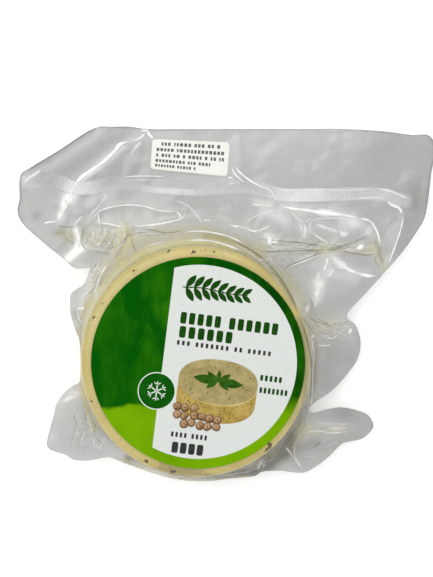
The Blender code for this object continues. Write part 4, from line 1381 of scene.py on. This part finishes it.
def fold_material():
    """A crease's painted highlight in white, and its painted shade in a dark olive of the cheese's
    colour.
    """
    material, nodes, links, shader = new_material("crease_highlight_and_shade")
    olive_shade = attribute(nodes, "olive_shade")
    # Painted highlight in white, painted shade in dark olive
    links.new(blended(nodes, links, olive_shade, (0.97, 0.97, 0.95), (0.24, 0.225, 0.12)),
              shader.inputs["Base Color"])
    links.new(arithmetic(nodes, links, "MULTIPLY", attribute(nodes, "fade"), 0.9, clamp=True),
              shader.inputs["Alpha"])
    vector = coordinates(nodes, links)
    links.new(mapped(nodes, links, noise_value(nodes, links, vector, 300.0), 0.3, 0.7, 0.08, 0.25),
              shader.inputs["Roughness"])
    shader.inputs["Specular IOR Level"].default_value = 0.9
    return material


def seal_material():
    # Painted glints: white where the glint attribute is strong, clear elsewhere
    material, nodes, links, shader = new_material("weld_painted_glints")
    vector = coordinates(nodes, links)
    cloud = noise_value(nodes, links, vector, 90.0)
    links.new(blended(nodes, links, cloud, (0.80, 0.81, 0.80), (0.98, 0.98, 0.97)),
              shader.inputs["Base Color"])
    links.new(arithmetic(nodes, links, "MULTIPLY", attribute(nodes, "glint"), 1.1, clamp=True),
              shader.inputs["Alpha"])
    shader.inputs["Roughness"].default_value = 0.22
    shader.inputs["Specular IOR Level"].default_value = 0.8
    return material


def cheese_material():
    """Moist cream-yellow cheese with faint marbling and fine pores."""
    material, nodes, links, shader = new_material("fresh_cheese")
    vector = coordinates(nodes, links)
    broad = noise_value(nodes, links, vector, 45.0, 4.0)
    fine = noise_value(nodes, links, vector, 700.0, 3.0)
    tone = mapped(nodes, links, broad, 0.3, 0.7, 0.0, 1.0)
    body = blended(nodes, links, tone, (0.500, 0.402, 0.118), (0.605, 0.498, 0.176))
    grain = mapped(nodes, links, fine, 0.55, 0.75, 0.0, 0.35)
    links.new(blended(nodes, links, grain, body, (0.38, 0.28, 0.085)), shader.inputs["Base Color"])
    links.new(mapped(nodes, links, broad, 0.3, 0.7, 0.28, 0.45), shader.inputs["Roughness"])
    add_bump(nodes, links, shader, fine, 0.25, 0.0004)
    shader.inputs["Subsurface Weight"].default_value = 0.12
    shader.inputs["Subsurface Radius"].default_value = (0.006, 0.004, 0.0015)
    shader.inputs["Subsurface Scale"].default_value = 0.4
    shader.inputs["Coat Weight"].default_value = 0.35
    shader.inputs["Coat Roughness"].default_value = 0.12
    return material


def fleck_material():
    material, nodes, links, shader = new_material("dried_herbs")
    hue = attribute(nodes, "hue")
    dark = blended(nodes, links, hue, (0.035, 0.040, 0.012), (0.20, 0.13, 0.045))
    vector = coordinates(nodes, links)
    mottled = noise_value(nodes, links, vector, 2500.0)
    links.new(blended(nodes, links, mapped(nodes, links, mottled, 0.4, 0.7, 0.0, 0.5), dark,
                      (0.10, 0.10, 0.04)), shader.inputs["Base Color"])
    shader.inputs["Roughness"].default_value = 0.5
    return material


def paper_base(name, first, second, shine=0.3, scale=900.0, roughness=0.45):
    """Printed paper whose ink varies a little with the fibres under it."""
    material, nodes, links, shader = new_material(name)
    vector = coordinates(nodes, links)
    fibre = noise_value(nodes, links, vector, scale, 4.0)
    links.new(blended(nodes, links, mapped(nodes, links, fibre, 0.35, 0.65, 0.0, 1.0), first, second),
              shader.inputs["Base Color"])
    links.new(mapped(nodes, links, fibre, 0.3, 0.7, roughness - 0.06, roughness + 0.06),
              shader.inputs["Roughness"])
    add_bump(nodes, links, shader, fibre, 0.06, 0.0002)
    shader.inputs["Specular IOR Level"].default_value = shine
    return material


def field_material():
    """The label's ground: mottled dark green above, lime below a soft hill line."""
    material, nodes, links, shader = new_material("label_ground")
    vector = coordinates(nodes, links, turn=-LABEL_TURN)
    parts = nodes.new("ShaderNodeSeparateXYZ")
    links.new(vector, parts.inputs[0])
    hill = nodes.new("ShaderNodeFloatCurve")
    curve = hill.mapping.curves[0]
    curve.points[0].location = (0.0, HILL_ENDS[0])
    curve.points[1].location = (1.0, HILL_ENDS[1])
    for place in HILL_LINE:
        curve.points.new(*place)
    hill.mapping.update()
    across = mapped(nodes, links, parts.outputs["X"], -0.045, 0.045, 0.0, 1.0)
    links.new(across, hill.inputs["Value"])
    line = mapped(nodes, links, hill.outputs["Value"], 0.0, 1.0, -0.030, -0.005)
    rough_edge = mapped(nodes, links, noise_value(nodes, links, vector, 180.0), 0.3, 0.7,
                        -0.0007, 0.0007)
    height = arithmetic(nodes, links, "ADD", parts.outputs["Y"], rough_edge)
    softness = mapped(nodes, links, parts.outputs["X"], 0.0, 0.040, 0.0007, 0.0040)
    over_line = arithmetic(nodes, links, "SUBTRACT", height, line)
    rise = arithmetic(nodes, links, "DIVIDE", over_line, softness)
    above = mapped(nodes, links, rise, -1.0, 1.0, 0.0, 1.0)
    streaks = coordinates(nodes, links, scale=(1.0, 0.40, 1.0), turn=-LABEL_TURN)
    cloud = noise_value(nodes, links, streaks, 90.0, 4.0, 0.6)
    reach = nodes.new("ShaderNodeVectorMath")
    reach.operation = "DISTANCE"
    reach.inputs[1].default_value = (-0.019, 0.018, LABEL_TOP * MM)
    links.new(vector, reach.inputs[0])
    patch = mapped(nodes, links, reach.outputs["Value"], 0.005, 0.022, 1.0, 0.34)
    mottling = arithmetic(nodes, links, "MULTIPLY",
                          mapped(nodes, links, cloud, 0.42, 0.66, 0.0, 1.0), patch)
    shade_side = mapped(nodes, links, parts.outputs["X"], -0.02, 0.03, 0.0, 1.0)
    ground = blended(nodes, links, shade_side, (0.0003, 0.082, 0.0002), (0.0003, 0.043, 0.0002))
    dark = blended(nodes, links, mottling, ground, (0.030, 0.195, 0.0006))
    lime_cloud = mapped(nodes, links, noise_value(nodes, links, vector, 60.0), 0.35, 0.65, 0.0, 1.0)
    lime = blended(nodes, links, lime_cloud, (0.135, 0.325, 0.0004), (0.170, 0.375, 0.0006))
    links.new(blended(nodes, links, above, lime, dark), shader.inputs["Base Color"])
    shader.inputs["Roughness"].default_value = 0.5
    shader.inputs["Specular IOR Level"].default_value = 0.02
    return material


def pictured_side_material(name, first, second):
    material, nodes, links, shader = new_material(name)
    vector = coordinates(nodes, links)
    cloud = noise_value(nodes, links, vector, 260.0, 4.0)
    links.new(blended(nodes, links, mapped(nodes, links, cloud, 0.35, 0.65, 0.0, 1.0), first, second),
              shader.inputs["Base Color"])
    shader.inputs["Roughness"].default_value = 0.45
    shader.inputs["Specular IOR Level"].default_value = 0.05
    return material


def floor_material():
    material, nodes, links, shader = new_material("pale_floor")
    vector = coordinates(nodes, links)
    cloud = noise_value(nodes, links, vector, 6.0)
    links.new(blended(nodes, links, cloud, (0.96, 0.96, 0.96), (0.98, 0.98, 0.98)),
              shader.inputs["Base Color"])
    shader.inputs["Emission Color"].default_value = (1.0, 1.0, 1.0, 1.0)
    shader.inputs["Emission Strength"].default_value = FLOOR_GLOW
    shader.inputs["Roughness"].default_value = 0.9
    shader.inputs["Specular IOR Level"].default_value = 0.1
    return material


# Studio


def build_floor():
    ground = bmesh.new()
    bmesh.ops.create_grid(ground, x_segments=8, y_segments=8, size=FLOOR_SIZE)
    bmesh.ops.scale(ground, vec=(MM, MM, MM), verts=ground.verts[:])
    mesh = bpy.data.meshes.new("floor")
    ground.to_mesh(mesh)
    ground.free()
    mesh.materials.append(floor_material())
    floor = bpy.data.objects.new("floor", mesh)
    bpy.context.scene.collection.objects.link(floor)


def add_light(name, place, size, power):
    data = bpy.data.lights.new(name, "AREA")
    data.shape = "SQUARE"
    data.size = size
    data.energy = power
    light = bpy.data.objects.new(name, data)
    light.location = place
    light.rotation_euler = (-Vector(place)).to_track_quat("-Z", "Y").to_euler()
    bpy.context.scene.collection.objects.link(light)


def build_studio():
    scene = bpy.context.scene
    data = bpy.data.cameras.new("camera")
    data.lens = LENS
    data.sensor_width = SENSOR
    data.clip_start = 0.01
    camera = bpy.data.objects.new("camera", data)
    camera.location = tuple(value * MM for value in CAMERA_PLACE)
    camera.rotation_euler = (-CAMERA_TILT, 0.0, 0.0)
    scene.collection.objects.link(camera)
    scene.camera = camera
    world = bpy.data.worlds.new("studio")
    world.use_nodes = True
    background = world.node_tree.nodes["Background"]
    background.inputs["Color"].default_value = (1.0, 1.0, 1.0, 1.0)
    background.inputs["Strength"].default_value = SKY_STRENGTH
    scene.world = world
    scene.view_settings.view_transform = "Standard"
    for lamp in LAMPS:
        add_light(*lamp)


def main():
    build_studio()
    build_floor()
    film = build_film(film_material())
    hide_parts("bag")
    for piece in (build_folds(fold_material()), build_seal_band(seal_material())):
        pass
    puck = build_cheese(cheese_material())
    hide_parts("cheese")
    build_flecks(fleck_material())
    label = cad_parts["label"]
    label.data.materials.clear()
    label.data.materials.append(
        paper_base("label_edge", (0.002, 0.060, 0.001), (0.006, 0.085, 0.003), 0.02))
    print_piece = build_label_print([
        field_material(),
        paper_base("panel_white", (0.645, 0.672, 0.640), (0.675, 0.700, 0.668)),
        paper_base("line_white", (0.68, 0.72, 0.66), (0.74, 0.77, 0.72)),
        paper_base("heading_green", (0.005, 0.046, 0.002), (0.012, 0.068, 0.004), 0.03),
        paper_base("small_grey", (0.024, 0.028, 0.028), (0.040, 0.045, 0.044), 0.05),
        pictured_side_material("pictured_top", (0.31, 0.25, 0.095), (0.42, 0.345, 0.150)),
        pictured_side_material("pictured_side", (0.36, 0.235, 0.048), (0.49, 0.355, 0.100)),
        pictured_side_material("pictured_leaf", (0.008, 0.055, 0.001), (0.035, 0.120, 0.008)),
        pictured_side_material("pictured_speck", (0.05, 0.045, 0.015), (0.12, 0.09, 0.03)),
        pictured_side_material("pictured_bean_shade", (0.13, 0.065, 0.026), (0.22, 0.12, 0.052)),
        pictured_side_material("pictured_bean", (0.34, 0.20, 0.105), (0.50, 0.32, 0.19)),
        pictured_side_material("badge_green", (0.0004, 0.075, 0.0002), (0.003, 0.095, 0.0004)),
        pictured_side_material("pictured_side_low", (0.30, 0.185, 0.040), (0.42, 0.28, 0.075)),
        pictured_side_material("pictured_rim", (0.52, 0.40, 0.16), (0.66, 0.54, 0.26)),
    ])
    sticker = build_sticker(
        paper_base("sticker_white", (0.800, 0.805, 0.750), (0.845, 0.850, 0.800), 0.2))
    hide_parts("date_sticker")
    ink = build_sticker_print(
        paper_base("printer_ink", (0.09, 0.09, 0.09), (0.15, 0.15, 0.15), 0.1))


main()
